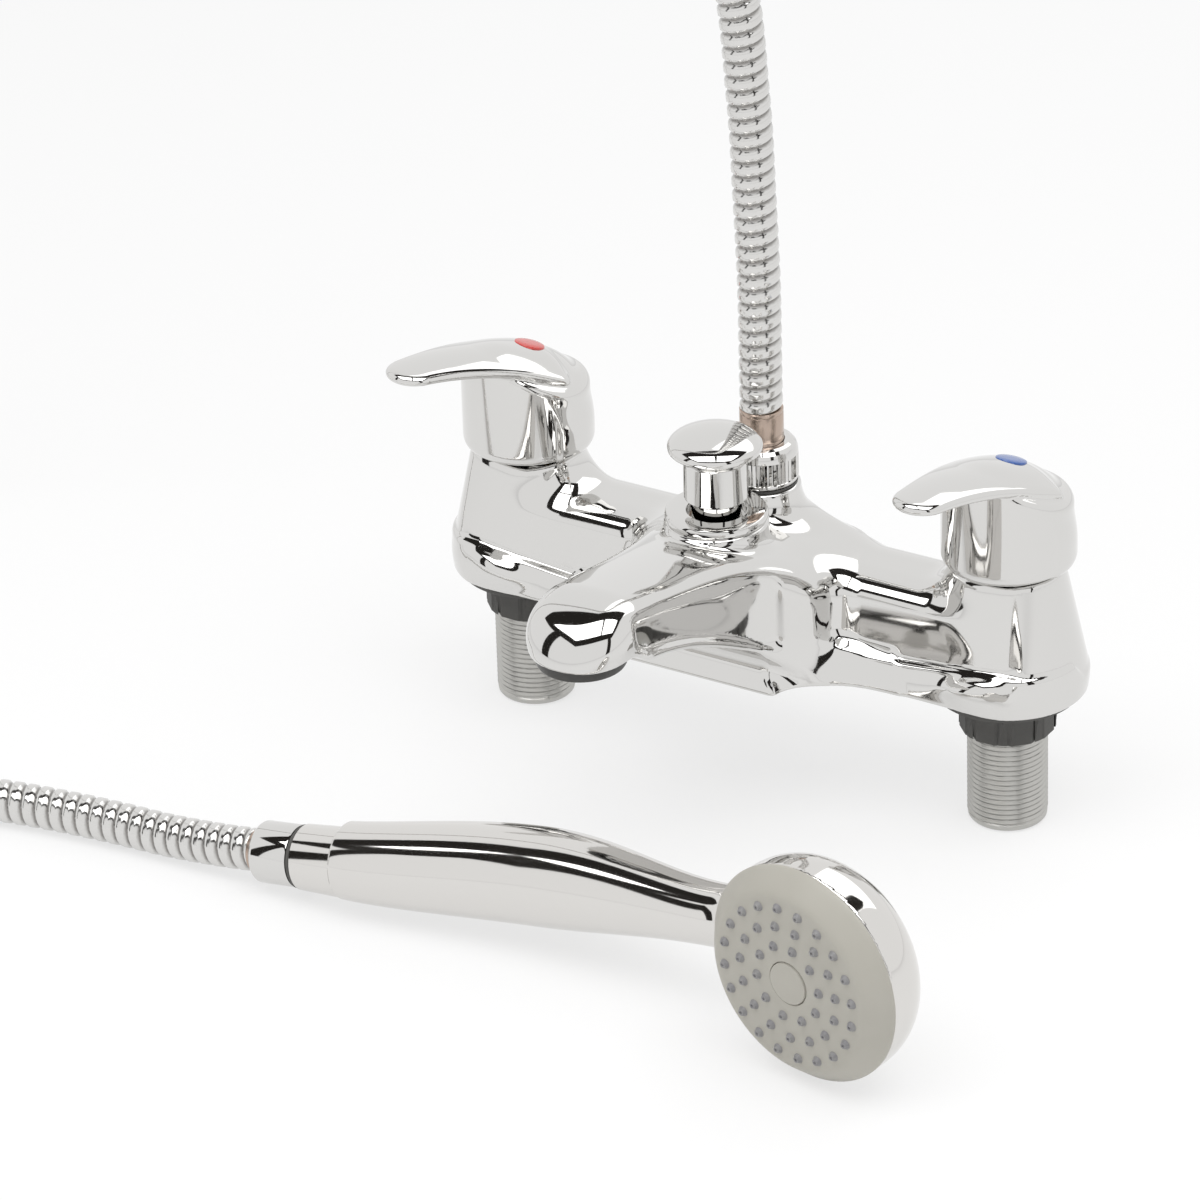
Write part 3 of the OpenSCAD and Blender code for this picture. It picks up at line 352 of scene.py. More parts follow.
def nitrile_rubber():
    """Moulded black rubber: matt, with the fine grain of its mould and paler bloom in patches."""
    made, tree = started("nitrile_rubber")
    if tree is None:
        return made
    place = add_node(tree, "ShaderNodeTexCoord")
    # Mould grain of 0.4 mm, drawn coarse enough to show, and bloom in patches of 8 mm
    grain = add_node(
        tree, "ShaderNodeTexNoise", {"Scale": patches(0.4), "Detail": 2.0},
        {"Vector": place.outputs["Object"]})
    bloom = add_node(
        tree, "ShaderNodeTexNoise", {"Scale": patches(8.33), "Detail": 3.0},
        {"Vector": place.outputs["Object"]})
    tone = add_node(
        tree, "ShaderNodeMix",
        {"data_type": "RGBA", 6: finishes().rubber, 7: linear("#585754")}, {0: bloom.outputs["Fac"]})
    bump = add_node(
        tree, "ShaderNodeBump", {"Strength": 0.25, "Distance": 0.0002}, {"Height": grain.outputs["Fac"]})
    shader = add_node(
        tree, "ShaderNodeBsdfPrincipled", {"Roughness": 0.62, "IOR": 1.52},
        {"Base Color": tone.outputs[2], "Normal": bump.outputs["Normal"]})
    add_node(tree, "ShaderNodeOutputMaterial", links={"Surface": shader.outputs["BSDF"]})
    return made


def moulded_abs_face():
    """Injection-moulded ABS in warm grey: a satin skin with fine spark-eroded grain."""
    made, tree = started("moulded_abs_face")
    if tree is None:
        return made
    place = add_node(tree, "ShaderNodeTexCoord")
    # Grain of 0.5 mm, drawn coarse enough to show, and clouds of 17 mm in the tone
    grain = add_node(
        tree, "ShaderNodeTexNoise", {"Scale": patches(0.5), "Detail": 2.0},
        {"Vector": place.outputs["Object"]})
    cloud = add_node(
        tree, "ShaderNodeTexNoise", {"Scale": patches(16.67), "Detail": 2.0},
        {"Vector": place.outputs["Object"]})
    tone = add_node(
        tree, "ShaderNodeMix",
        {"data_type": "RGBA", 6: finishes().face, 7: linear("#AFACA2")}, {0: cloud.outputs["Fac"]})
    rough = add_node(
        tree, "ShaderNodeMapRange", {"To Min": 0.34, "To Max": 0.5}, {"Value": grain.outputs["Fac"]})
    bump = add_node(
        tree, "ShaderNodeBump", {"Strength": 0.12, "Distance": 0.0001}, {"Height": grain.outputs["Fac"]})
    shader = add_node(
        tree, "ShaderNodeBsdfPrincipled", {"IOR": 1.53},
        {
            "Base Color": tone.outputs[2],
            "Roughness": rough.outputs["Result"],
            "Normal": bump.outputs["Normal"],
        })
    add_node(tree, "ShaderNodeOutputMaterial", links={"Surface": shader.outputs["BSDF"]})
    return made


def silicone_rubber():
    """Moulded grey silicone: soft sheen, slightly uneven in tone."""
    made, tree = started("silicone_rubber")
    if tree is None:
        return made
    place = add_node(tree, "ShaderNodeTexCoord")
    # Clouds of 2.5 mm, about a nozzle wide
    cloud = add_node(
        tree, "ShaderNodeTexNoise", {"Scale": patches(2.5), "Detail": 2.0},
        {"Vector": place.outputs["Object"]})
    tone = add_node(
        tree, "ShaderNodeMix",
        {"data_type": "RGBA", 6: finishes().nozzle, 7: linear("#86858A")}, {0: cloud.outputs["Fac"]})
    shader = add_node(
        tree, "ShaderNodeBsdfPrincipled", {"Roughness": 0.42, "IOR": 1.43}, {"Base Color": tone.outputs[2]})
    add_node(tree, "ShaderNodeOutputMaterial", links={"Surface": shader.outputs["BSDF"]})
    return made


def acrylic_index(name, paint):
    """Moulded acrylic with a gloss face: the colour lies under a clear skin."""
    made, tree = started(name)
    if tree is None:
        return made
    place = add_node(tree, "ShaderNodeTexCoord")
    # Waves of the moulded face, 3 mm wide
    cloud = add_node(
        tree, "ShaderNodeTexNoise", {"Scale": patches(3.33), "Detail": 2.0},
        {"Vector": place.outputs["Object"]})
    rough = add_node(
        tree, "ShaderNodeMapRange", {"To Min": 0.12, "To Max": 0.22}, {"Value": cloud.outputs["Fac"]})
    shader = add_node(
        tree, "ShaderNodeBsdfPrincipled", {"Base Color": paint, "IOR": 1.49, "Coat Weight": 0.4},
        {"Roughness": rough.outputs["Result"]})
    add_node(tree, "ShaderNodeOutputMaterial", links={"Surface": shader.outputs["BSDF"]})
    return made


def turned_brass():
    """Free-cutting brass as it leaves the lathe: yellow, with tool lines round it."""
    made, tree = started("turned_brass")
    if tree is None:
        return made
    place = add_node(tree, "ShaderNodeTexCoord")
    # Tool lines 0.8 mm apart, coarser than a lathe leaves them, so that they show
    lines = add_node(
        tree, "ShaderNodeTexWave", {"bands_direction": "Z", "Scale": bands(0.8055), "Distortion": 0.4},
        {"Vector": place.outputs["Object"]})
    rough = add_node(
        tree, "ShaderNodeMapRange", {"To Min": 0.22, "To Max": 0.38}, {"Value": lines.outputs["Fac"]})
    shader = add_node(
        tree, "ShaderNodeBsdfPrincipled", {"Base Color": finishes().brass, "Metallic": 1.0},
        {"Roughness": rough.outputs["Result"]})
    add_node(tree, "ShaderNodeOutputMaterial", links={"Surface": shader.outputs["BSDF"]})
    return made


def lapped_alumina():
    """Sintered alumina, lapped flat: off-white with a faint speckle."""
    made, tree = started("lapped_alumina")
    if tree is None:
        return made
    place = add_node(tree, "ShaderNodeTexCoord")
    # Speckle of 0.7 mm, drawn coarse enough to show
    speck = add_node(
        tree, "ShaderNodeTexNoise", {"Scale": patches(0.667), "Detail": 2.0},
        {"Vector": place.outputs["Object"]})
    tone = add_node(
        tree, "ShaderNodeMix",
        {"data_type": "RGBA", 6: finishes().ceramic, 7: linear("#DCD7C8")}, {0: speck.outputs["Fac"]})
    shader = add_node(
        tree, "ShaderNodeBsdfPrincipled", {"Roughness": 0.18, "IOR": 1.76}, {"Base Color": tone.outputs[2]})
    add_node(tree, "ShaderNodeOutputMaterial", links={"Surface": shader.outputs["BSDF"]})
    return made


def bright_zinc_steel():
    """Cold-headed steel with bright zinc plate: bluish grey, lightly mottled."""
    made, tree = started("bright_zinc_steel")
    if tree is None:
        return made
    place = add_node(tree, "ShaderNodeTexCoord")
    # Mottle of 1.4 mm
    mottle = add_node(
        tree, "ShaderNodeTexNoise", {"Scale": patches(1.43), "Detail": 3.0},
        {"Vector": place.outputs["Object"]})
    rough = add_node(
        tree, "ShaderNodeMapRange", {"To Min": 0.2, "To Max": 0.36}, {"Value": mottle.outputs["Fac"]})
    shader = add_node(
        tree, "ShaderNodeBsdfPrincipled", {"Base Color": linear("#A9ADB2"), "Metallic": 1.0},
        {"Roughness": rough.outputs["Result"]})
    add_node(tree, "ShaderNodeOutputMaterial", links={"Surface": shader.outputs["BSDF"]})
    return made


def acetal():
    """Moulded white acetal: waxy, with a faint flow pattern."""
    made, tree = started("acetal")
    if tree is None:
        return made
    place = add_node(tree, "ShaderNodeTexCoord")
    # Flow marks 4 mm wide
    flow = add_node(
        tree, "ShaderNodeTexNoise", {"Scale": patches(4), "Detail": 2.0},
        {"Vector": place.outputs["Object"]})
    tone = add_node(
        tree, "ShaderNodeMix",
        {"data_type": "RGBA", 6: linear("#CFCFCA"), 7: linear("#BFBFB9")}, {0: flow.outputs["Fac"]})
    shader = add_node(
        tree, "ShaderNodeBsdfPrincipled", {"Roughness": 0.4, "IOR": 1.48}, {"Base Color": tone.outputs[2]})
    add_node(tree, "ShaderNodeOutputMaterial", links={"Surface": shader.outputs["BSDF"]})
    return made


def black_acetal():
    """Moulded black acetal: a satin skin, a little paler where the melt flowed."""
    made, tree = started("black_acetal")
    if tree is None:
        return made
    place = add_node(tree, "ShaderNodeTexCoord")
    # Flow marks 4 mm wide
    flow = add_node(
        tree, "ShaderNodeTexNoise", {"Scale": patches(4), "Detail": 2.0},
        {"Vector": place.outputs["Object"]})
    tone = add_node(
        tree, "ShaderNodeMix",
        {"data_type": "RGBA", 6: finishes().outlet, 7: linear("#454442")}, {0: flow.outputs["Fac"]})
    shader = add_node(
        tree, "ShaderNodeBsdfPrincipled", {"Roughness": 0.38, "IOR": 1.48}, {"Base Color": tone.outputs[2]})
    add_node(tree, "ShaderNodeOutputMaterial", links={"Surface": shader.outputs["BSDF"]})
    return made


# Making and placing pieces

def put_down():
    """Nothing is selected, and no object is in edit mode."""
    if bpy.context.object is not None and bpy.context.object.mode != "OBJECT":
        bpy.ops.object.mode_set(mode="OBJECT")
    bpy.ops.object.select_all(action="DESELECT")


def pick_up(piece):
    """Only this piece is selected and active."""
    put_down()
    piece.select_set(True)
    bpy.context.view_layer.objects.active = piece


def closed_up(piece, angle=35.0):
    """Doubles merged, faces turned outwards, and shaded smooth up to an angle."""
    pick_up(piece)
    bpy.ops.object.mode_set(mode="EDIT")
    bpy.ops.mesh.select_all(action="SELECT")
    bpy.ops.mesh.remove_doubles(threshold=0.00003)
    bpy.ops.mesh.normals_make_consistent(inside=False)
    bpy.ops.object.mode_set(mode="OBJECT")
    bpy.ops.object.shade_smooth_by_angle(angle=math.radians(angle))
    return piece


def turned(name, profile, sides=96, angle=35.0):
    """A piece turned on the z axis: a circle extruded along (radius, height) points in millimetres."""
    put_down()
    first_r, first_z = profile[0]
    bpy.ops.mesh.primitive_circle_add(vertices=sides, radius=first_r * MM, location=(0, 0, first_z * MM))
    piece = bpy.context.object
    piece.name = name
    bpy.ops.object.transform_apply(location=True, rotation=True, scale=True)
    bpy.ops.object.mode_set(mode="EDIT")
    bpy.ops.mesh.select_mode(type="EDGE")
    bpy.ops.mesh.select_all(action="SELECT")
    for (r0, z0), (r1, z1) in zip(profile, profile[1:]):
        bpy.ops.mesh.extrude_region_move(TRANSFORM_OT_translate={"value": (0, 0, (z1 - z0) * MM)})
        if r1 != r0:
            bpy.ops.transform.resize(value=(r1 / r0, r1 / r0, 1), center_override=(0, 0, z1 * MM))
    bpy.ops.object.mode_set(mode="OBJECT")
    return closed_up(piece, angle)


def placed(piece, matrix):
    """Moves the mesh to its place, with the object left at the origin."""
    piece.data.transform(matrix)
    piece.data.update()
    return piece


def at(x, y, z):
    """A move in millimetres."""
    return Matrix.Translation((x * MM, y * MM, z * MM))


def turn(axis, degrees):
    """A turn about an axis through the origin."""
    return Matrix.Rotation(math.radians(degrees), 4, axis)


def on_handset():
    """Place of the handset: x runs from its dark ring to the head."""
    return at(*HANDSET_AT) @ turn("Z", HANDSET_TURN[2]) @ turn("Y", HANDSET_TURN[1])


def along_grip():
    """Place of a piece turned on the handset's axis."""
    return on_handset() @ turn("Y", 90)


def on_head():
    """Place of a piece turned on the head's axis: z = 0 at the rim, +z the way that the spray leaves."""
    return on_handset() @ at(GRIP_LEN, 0, 0) @ turn("Z", HEAD_LEAN) @ at(0, -HEAD_SET, 0) @ turn("X", 90)


def joined(pieces, name):
    """Several pieces as one object."""
    put_down()
    for piece in pieces:
        piece.select_set(True)
    bpy.context.view_layer.objects.active = pieces[0]
    bpy.ops.object.join()
    pieces[0].name = name
    pieces[0].data.name = name
    return pieces[0]


def copied(piece, matrix):
    """A copy with its own mesh, moved by a matrix."""
    twin = piece.copy()
    twin.data = piece.data.copy()
    bpy.context.scene.collection.objects.link(twin)
    return placed(twin, matrix)


def handed_over(piece, body, material, slot, *nodes):
    """Gives a piece its finish, its body and the CAD nodes that it stands for."""
    piece.data.materials.clear()
    piece.data.materials.append(material)
    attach(piece, body)
    if nodes:
        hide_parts(*nodes)
    return piece


# Castings: forms that run into each other with fillets, drawn from distance fields in millimetres

def blend(a, b, r):
    """Union of two fields with a fillet."""
    h = np.maximum(r - np.abs(a - b), 0.0) / r
    return np.minimum(a, b) - h * h * r / 4


def cut(a, b, r):
    """Common part of two fields with a rounded edge."""
    h = np.maximum(r - np.abs(a - b), 0.0) / r
    return np.maximum(a, b) + h * h * r / 4


def ease(t):
    """Runs smoothly from 0 to 1."""
    t = np.clip(t, 0.0, 1.0)
    return t * t * (3 - 2 * t)


def over(t, width):
    """Zero below zero and t above it, with a soft turn of some width."""
    return (t + np.hypot(t, width)) / 2


def slope_of(field, points):
    """The way that a field grows at some points."""
    slope = np.empty_like(points)
    for i in range(3):
        side = np.zeros(3)
        side[i] = 0.05
        slope[:, i] = (field(*(points + side).T) - field(*(points - side).T)) / 0.1
    return slope


def drawn_on(field, points, step, times):
    """Draws points onto the surface where a field is zero."""
    for _ in range(times):
        slope = slope_of(field, points)
        move = (field(*points.T) / np.maximum((slope ** 2).sum(1), 0.05))[:, None] * slope
        size = np.linalg.norm(move, axis=1, keepdims=True)
        points = points - move * np.minimum(1.0, 0.4 * step / np.maximum(size, 1e-9))
    return points


def skin(name, field, low, high, step):
    """The surface where a field is zero, as a mesh of quads whose corners lie on that surface."""
    low = np.array(low, float)
    count = np.ceil((np.array(high, float) - low) / step).astype(int) + 1
    axes = [low[i] + step * np.arange(count[i]) for i in range(3)]
    inside = field(*np.meshgrid(*axes, indexing="ij")) < 0
    filled = np.zeros(count - 1, np.int8)
    for i in range(8):
        a, b, c = i & 1, i >> 1 & 1, i >> 2 & 1
        filled += inside[a:count[0] - 1 + a, b:count[1] - 1 + b, c:count[2] - 1 + c]
    mixed = (filled > 0) & (filled < 8)
    number = np.full(mixed.shape, -1)
    number[mixed] = np.arange(mixed.sum())
    points = low + (np.argwhere(mixed) + 0.5) * step
    points = drawn_on(field, points, step, 8)
    quads = []
    for i in range(3):
        j, k = (i + 1) % 3, (i + 2) % 3
        lower = np.take(inside, range(count[i] - 1), axis=i)
        upper = np.take(inside, range(1, count[i]), axis=i)
        edges = np.argwhere(lower != upper)
        within = (edges[:, j] > 0) & (edges[:, k] > 0)
        within &= (edges[:, j] < count[j] - 1) & (edges[:, k] < count[k] - 1)
        edges = edges[within]
        corners = []
        for dj, dk in ((-1, -1), (0, -1), (0, 0), (-1, 0)):
            cell = edges.copy()
            cell[:, j] += dj
            cell[:, k] += dk
            corners.append(number[cell[:, 0], cell[:, 1], cell[:, 2]])
        quad = np.stack(corners, 1)
        out = lower[edges[:, 0], edges[:, 1], edges[:, 2]]
        quads.append(np.where(out[:, None], quad, quad[:, ::-1]))
    quads = np.concatenate(quads)
    # The corners are evened out along the surface, then drawn back onto it
    for _ in range(4):
        total = np.zeros_like(points)
        share = np.zeros(len(points))
        for a, b in ((0, 1), (1, 2), (2, 3), (3, 0)):
            for m, n in ((a, b), (b, a)):
                np.add.at(total, quads[:, m], points[quads[:, n]])
                np.add.at(share, quads[:, m], 1)
        points = drawn_on(field, 0.4 * points + 0.6 * total / share[:, None], step, 4)
    mesh = bpy.data.meshes.new(name)
    mesh.from_pydata((points * MM).tolist(), [], quads.tolist())
    piece = bpy.data.objects.new(name, mesh)
    bpy.context.scene.collection.objects.link(piece)
    pick_up(piece)
    bpy.ops.object.shade_smooth()
    normals = slope_of(field, points)
    normals /= np.maximum(np.linalg.norm(normals, axis=1, keepdims=True), 1e-9)
    mesh.normals_split_custom_set_from_vertices(normals.tolist())
    return piece


def spout_top(y):
    """Height of the spout's crown: it climbs to the nose and then falls in a long curve."""
    fall = np.clip(NOSE_START - y, 0.0, NOSE_RUN)
    climb = 51.0 + SPOUT_CLIMB * (-40.8 - np.maximum(y, NOSE_START))
    rounded = SPOUT_CLIMB * fall * (1 - fall / NOSE_RUN)
    return climb + rounded - NOSE_CURVE + np.sqrt(NOSE_CURVE ** 2 - (0.8 * fall) ** 2)


def spout_under(y):
    """Height of the arch under the spout."""
    t = -38.0 - y
    return 12.5 + 0.675 * t - 0.00347 * t * t


def body_field(x, y, z):
    """Cast body: two pillars, the arms between them, the middle with its spout, the seat and the boss."""
    # A sloping form is multiplied by a number just under 1, which makes its field a true distance
    ax = np.abs(x)
    r = np.hypot(ax - PILLAR_X, y)
    pillar = (r - PILLAR_R + 0.21 * (z - PILLAR_WIDEST_Z)) * 0.98
    pillar = cut(pillar, (r - 24.7 - 0.45 * (z - FOOT_Z)) * 0.91, 2.5)
    pillar = cut(pillar, z - PILLAR_TOP, 1.5)
    back = (y - ARM_BACK + 0.314 * (z - 10.5)) * 0.954
    arms = cut(cut(cut(back, z - ARM_TOP, 11.0), ax - 92, 2.0), -23.0 - y, 1.0)
    body = blend(arms, pillar, 1.5 + 7.5 * ease((z - 18) / 14))
    # Flat front of the arms, which runs on over the pillars and ends in a lip that rises towards them
    lip = LIP_Z + LIP_RISE * np.clip((ax - 36) / 62, 0, 1) ** 1.6
    front = (-y - FRONT_Y + 0.19 * (z - 14)) * 0.98
    room = cut(cut(ax - 103.8, lip - z, 5.0), -front, 2.5)
    body = cut(body, -room, 11.0 - 6.5 * ease((ax - 68) / 28))
    # Middle of the body and spout, wide at the root and narrow at the nose
    grow = np.exp((y + 29) / 16)
    side = (ax - SPOUT_HALF - 17.6 * grow) / np.sqrt(1 + (1.1 * grow) ** 2)
    side = np.where(y < OUTLET_Y, np.hypot(ax, y - OUTLET_Y) - NOSE_R, side)
    taper = 0.33 * over(52 - z, 4) * ease((-100 - y) / 18)
    side = cut(side + taper, ax - 36, 4.0)
    top = spout_top(y)
    crown = (z - top + ax * ax / 160 + 0.01 * np.maximum(ax - 16, 0) ** 2) * 0.95
    low = spout_under(y)
    low = low + (OUTLET_Z - low) * ease((-103 - y) / 9)
    spout = cut(cut(side, crown, 8.0 + 2.0 * ease((-90 - y) / 26)), (low - z) * 0.86, 1.6)
    spout = cut(spout, y - 12, 4.0)
    # Hollow panel on each flank of the spout
    band = cut((low + 3.0 - z) * 0.86, (z - top + 4.2) * 0.97, 3.0)
    panel = cut(cut(-111.5 - y, y + 38.0, 3.0), band, 5.0)
    hollow = cut(panel, -side - 1.5, 2.0)
    spout = cut(spout, -hollow, 1.6)
    body = blend(body, spout, 10.0)
    # Flared seat of the hose nut and boss of the diverter
    rise = np.clip(SEAT_Z - z, 0.0, SEAT_FLARE - 0.1)
    seat = (np.hypot(x, y) - SEAT_R + np.sqrt(SEAT_FLARE ** 2 - rise * rise)) * 0.85
    seat = cut(cut(cut(seat, y - 17, 6.0), -20 - y, 4.0), z - SEAT_Z, 1.2)
    boss = cut(cut(np.hypot(x, y - DIVERTER_Y) - BOSS_R, z - SEAT_Z, 1.2), 38 - z, 2.0)
    body = blend(body, seat, 5.0)
    body = blend(body, boss, 4.0)
    # Rim along the foot of the arms
    rim = np.maximum(front - 0.7 - 0.09 * over(lip - z, 2), y - 24.3) * 0.98
    rim = cut(rim, np.minimum(ax - 92, r - 26.2), 1.5)
    rim = cut(rim, z - 9.6 - (lip - 9.6) * ease((4 - y) / 8), 1.6)
    body = blend(body, rim, 1.8)
    # Foot of the middle, which sweeps forward and slopes up to the spout
    sweep = (1 - np.hypot((ax - 64) / 35, (y + 45) / 20.5)) * 20.5
    middle = cut(cut(cut(ax - 64, -45 - y, 1.5), sweep, 1.5), y, 1.0)
    foot = cut((middle + 0.5 * over(z - 3.2, 1.5)) * 0.89, z - 14, 2.0)
    body = blend(body, foot, 3.0 + 5.0 * ease((50 - ax) / 20))
    return cut(cut(body, y - BODY_BACK, 0.4), FOOT_Z - z, 1.3)


def lever_top(y):
    """Height of a lever's crown: highest near the tip, falling to the back in a long curve."""
    return CROWN_Z - np.maximum(y - CROWN_Y, 0.0) ** 2 / 296


def lever_field(x, y, z):
    """Lever: a skirt, a hood that arches over it from the back, and the blade that the hood runs into."""
    r = np.hypot(x, y)
    top = (z - lever_top(y) + x * x / 67) * 0.95
    skirt = cut(cut(r - SKIRT_R, -z, 4.0), top + 3, 2.0)
    hood = cut(cut(r - HOOD_R, top, 17.0), -z, 4.0)
    rise = np.clip((z - 8) / 30, 0.0, 1.0)
    arch = -2.9 - 15 * (1 - np.sqrt(1 - rise * rise))
    hood = cut(hood, (arch - y) * 0.85, 1.6)
    t = np.maximum(y - BLADE_END, 0.0)
    side = np.where(y < BLADE_END, np.hypot(x, y - BLADE_END), np.abs(x))
    side = side - BLADE_HALF - 0.13 * t - 0.0022 * t * t
    under = (lever_top(y) - 4.0 - 0.06 * np.maximum(y + 54, 0) - z) * 0.97
    blade = cut(cut(cut(side * 0.96, top, 3.0), under, 2.4), y - 6, 4.0)
    lever = blend(blend(hood, blade, 3.0), skirt, 0.9)
    hollow = cut(r - LEVER_HOLLOW_R, z - 18, 1.0)
    return cut(lever, -hollow, 0.8)


def handset_field(x, y, z):
    """Shell of the handset: a bowed handle that runs into the back of the head."""
    u = (x - GRIP_START) / (GRIP_LEN - GRIP_START)
    bow = 8 * np.sin(np.pi * np.clip(u / 0.74, 0, 1)) ** 1.4 - 14 * (np.clip(u - 0.74, 0, 0.3) / 0.26) ** 2
    swell = np.where(
        u < 0.36,
        12.7 + 3.3 * np.sin(np.pi / 2 * np.clip(u / 0.36, 0, 1)),
        10.2 + 2.9 * (1 + np.cos(np.pi * np.clip((u - 0.36) / 0.38, 0, 1))))
    lift = 1.0 * np.exp(-np.maximum(x - GRIP_START, 0) / 30)
    grip = (np.hypot(y - bow, z - lift) - swell) * 0.97
    grip = cut(cut(grip, GRIP_START - x, 0.8), x - GRIP_LEN - 4, 3.0)
    lean = math.radians(-HEAD_LEAN)
    across = (x - GRIP_LEN) * math.cos(lean) - y * math.sin(lean)
    depth = (x - GRIP_LEN) * math.sin(lean) + y * math.cos(lean) + HEAD_SET
    r = np.hypot(across, z) / HEAD_R
    back = np.maximum(depth - 4, 0) / HEAD_DEPTH
    bowl = ((r ** 2.3 + back ** 2.3) ** (1 / 2.3) - 1) * 27
    shell = blend(grip, bowl, 9.0)
    # The plane of the rim trims the head and leaves the handle alone
    return cut(shell, np.where(x > 140, -depth, -60.0), 0.8)


# Operators

class MIXER_OT_camera(bpy.types.Operator):
    """Sets the camera where the photograph was taken from"""

    bl_idname = "mixer.camera"
    bl_label = "Camera"

    def execute(self, context):
        azimuth = math.radians(CAMERA_AZIMUTH)
        elevation = math.radians(CAMERA_ELEVATION)
        roll = math.radians(CAMERA_ROLL)
        right = Vector((math.cos(azimuth), math.sin(azimuth), 0))
        back = Vector((
            math.sin(azimuth) * math.cos(elevation),
            -math.cos(azimuth) * math.cos(elevation),
            math.sin(elevation)))
        up = back.cross(right)
        level_right = right * math.cos(roll) + up * math.sin(roll)
        level_up = up * math.cos(roll) - right * math.sin(roll)
        lens = bpy.data.cameras.new("camera")
        lens.lens = 210.0
        lens.sensor_width = 36.0
        lens.clip_start = 0.05
        lens.clip_end = 50.0
        camera = bpy.data.objects.new("camera", lens)
        context.scene.collection.objects.link(camera)
        turned_to = Matrix((level_right, level_up, back)).transposed().to_4x4()
        camera.matrix_world = Matrix.Translation(Vector(CAMERA_TARGET) + back * CAMERA_AWAY) @ turned_to
        context.scene.camera = camera
        return {"FINISHED"}


def route_points(count):
    """Evenly spaced points on the smooth curve through the hose's route, and its length, in millimetres."""
    p = np.array(HOSE_ROUTE, float)
    before = np.vstack([2 * p[0] - p[1], p[:-2]])
    after = np.vstack([p[2:], 2 * p[-1] - p[-2]])
    f = np.linspace(0, 1, 40, endpoint=False)[:, None, None]
    a, b, c, d = before[None], p[:-1][None], p[1:][None], after[None]
    curve = 0.5 * (
        2 * b + (c - a) * f + (2 * a - 5 * b + 4 * c - d) * f ** 2 + (3 * b - 3 * c + d - a) * f ** 3)
    fine = np.vstack([curve.transpose(1, 0, 2).reshape(-1, 3), p[-1:]])
    run = np.concatenate([[0], np.cumsum(np.linalg.norm(np.diff(fine, axis=0), axis=1))])
    even = np.linspace(0, run[-1], count)
    return np.stack([np.interp(even, run, fine[:, i]) for i in range(3)], 1), run[-1]


class MIXER_OT_hose(bpy.types.Operator):
    """Winds the ribbed hose along its route"""

    bl_idname = "mixer.hose"
    bl_label = "Hose"

    def execute(self, context):
        rows_per_rib = 8
        sides = 24
        size = sizes()
        pitch = size.rib_pitch / MM
        depth = size.rib_depth / MM
        radius = size.hose_diameter / MM / 2
        _, run = route_points(2)
        rows = int(run / pitch * rows_per_rib)
        line, run = route_points(rows)
        # Two directions across the hose are carried along it without a twist
        tangent = np.gradient(line, axis=0)
        tangent /= np.linalg.norm(tangent, axis=1, keepdims=True)
        normal = np.empty_like(line)
        carried = np.array([1.0, 0.0, 0.0])
        for i, t in enumerate(tangent):
            carried = carried - carried.dot(t) * t
            carried /= np.linalg.norm(carried)
            normal[i] = carried
        across = np.cross(tangent, normal)
        angle = 2 * np.pi * np.arange(sides) / sides
        # A rib's section: a rounded crest and a narrow groove, wound as a helix
        along = np.linspace(0, run, rows)[:, None] / pitch - angle[None, :] / (2 * np.pi)
        share = along - np.floor(along)
        crest = np.clip(np.abs(share - 0.5) * 2, 0, 1)
        fall = ease((crest - 0.45) / 0.5)
        reach = radius - depth * fall
        outward = np.cos(angle)[None, :, None] * normal[:, None, :]
        outward = outward + np.sin(angle)[None, :, None] * across[:, None, :]
        points = line[:, None, :] + reach[:, :, None] * outward
        faces = []
        for i in range(rows - 1):
            a, b = i * sides, (i + 1) * sides
            faces += [(a + k, a + (k + 1) % sides, b + (k + 1) % sides, b + k) for k in range(sides)]
        faces.append(tuple(reversed(range(sides))))
        faces.append(tuple(range((rows - 1) * sides, rows * sides)))
        mesh = bpy.data.meshes.new("hose_ribs")
        mesh.from_pydata((points.reshape(-1, 3) * MM).tolist(), [], faces)
        # Weight of the painted shade in the grooves: highest deep in a groove, none on a crest
        groove = mesh.attributes.new("groove", "FLOAT", "POINT")
        groove.data.foreach_set("value", (0.85 * fall ** 3).astype(np.float32).ravel())
        hose = bpy.data.objects.new("hose_ribs", mesh)
        context.scene.collection.objects.link(hose)
        pick_up(hose)
        bpy.ops.object.shade_smooth()
        handed_over(hose, "mixer", polished_stainless_strip(), "chromed_hose", "hose")
        path, _ = route_points(240)
        return {"FINISHED"}


class MIXER_OT_body(bpy.types.Operator):
    """Casts the mixer's body with its spout"""

    bl_idname = "mixer.body"
    bl_label = "Body"

    def execute(self, context):
        body = skin("cast_body", body_field, (-121, -139, -3), (121, 32, 73), sizes().body_step / MM)
        handed_over(body, "mixer", chrome_plated_brass(), "chrome_on_brass", "mixer_body")
        return {"FINISHED"}


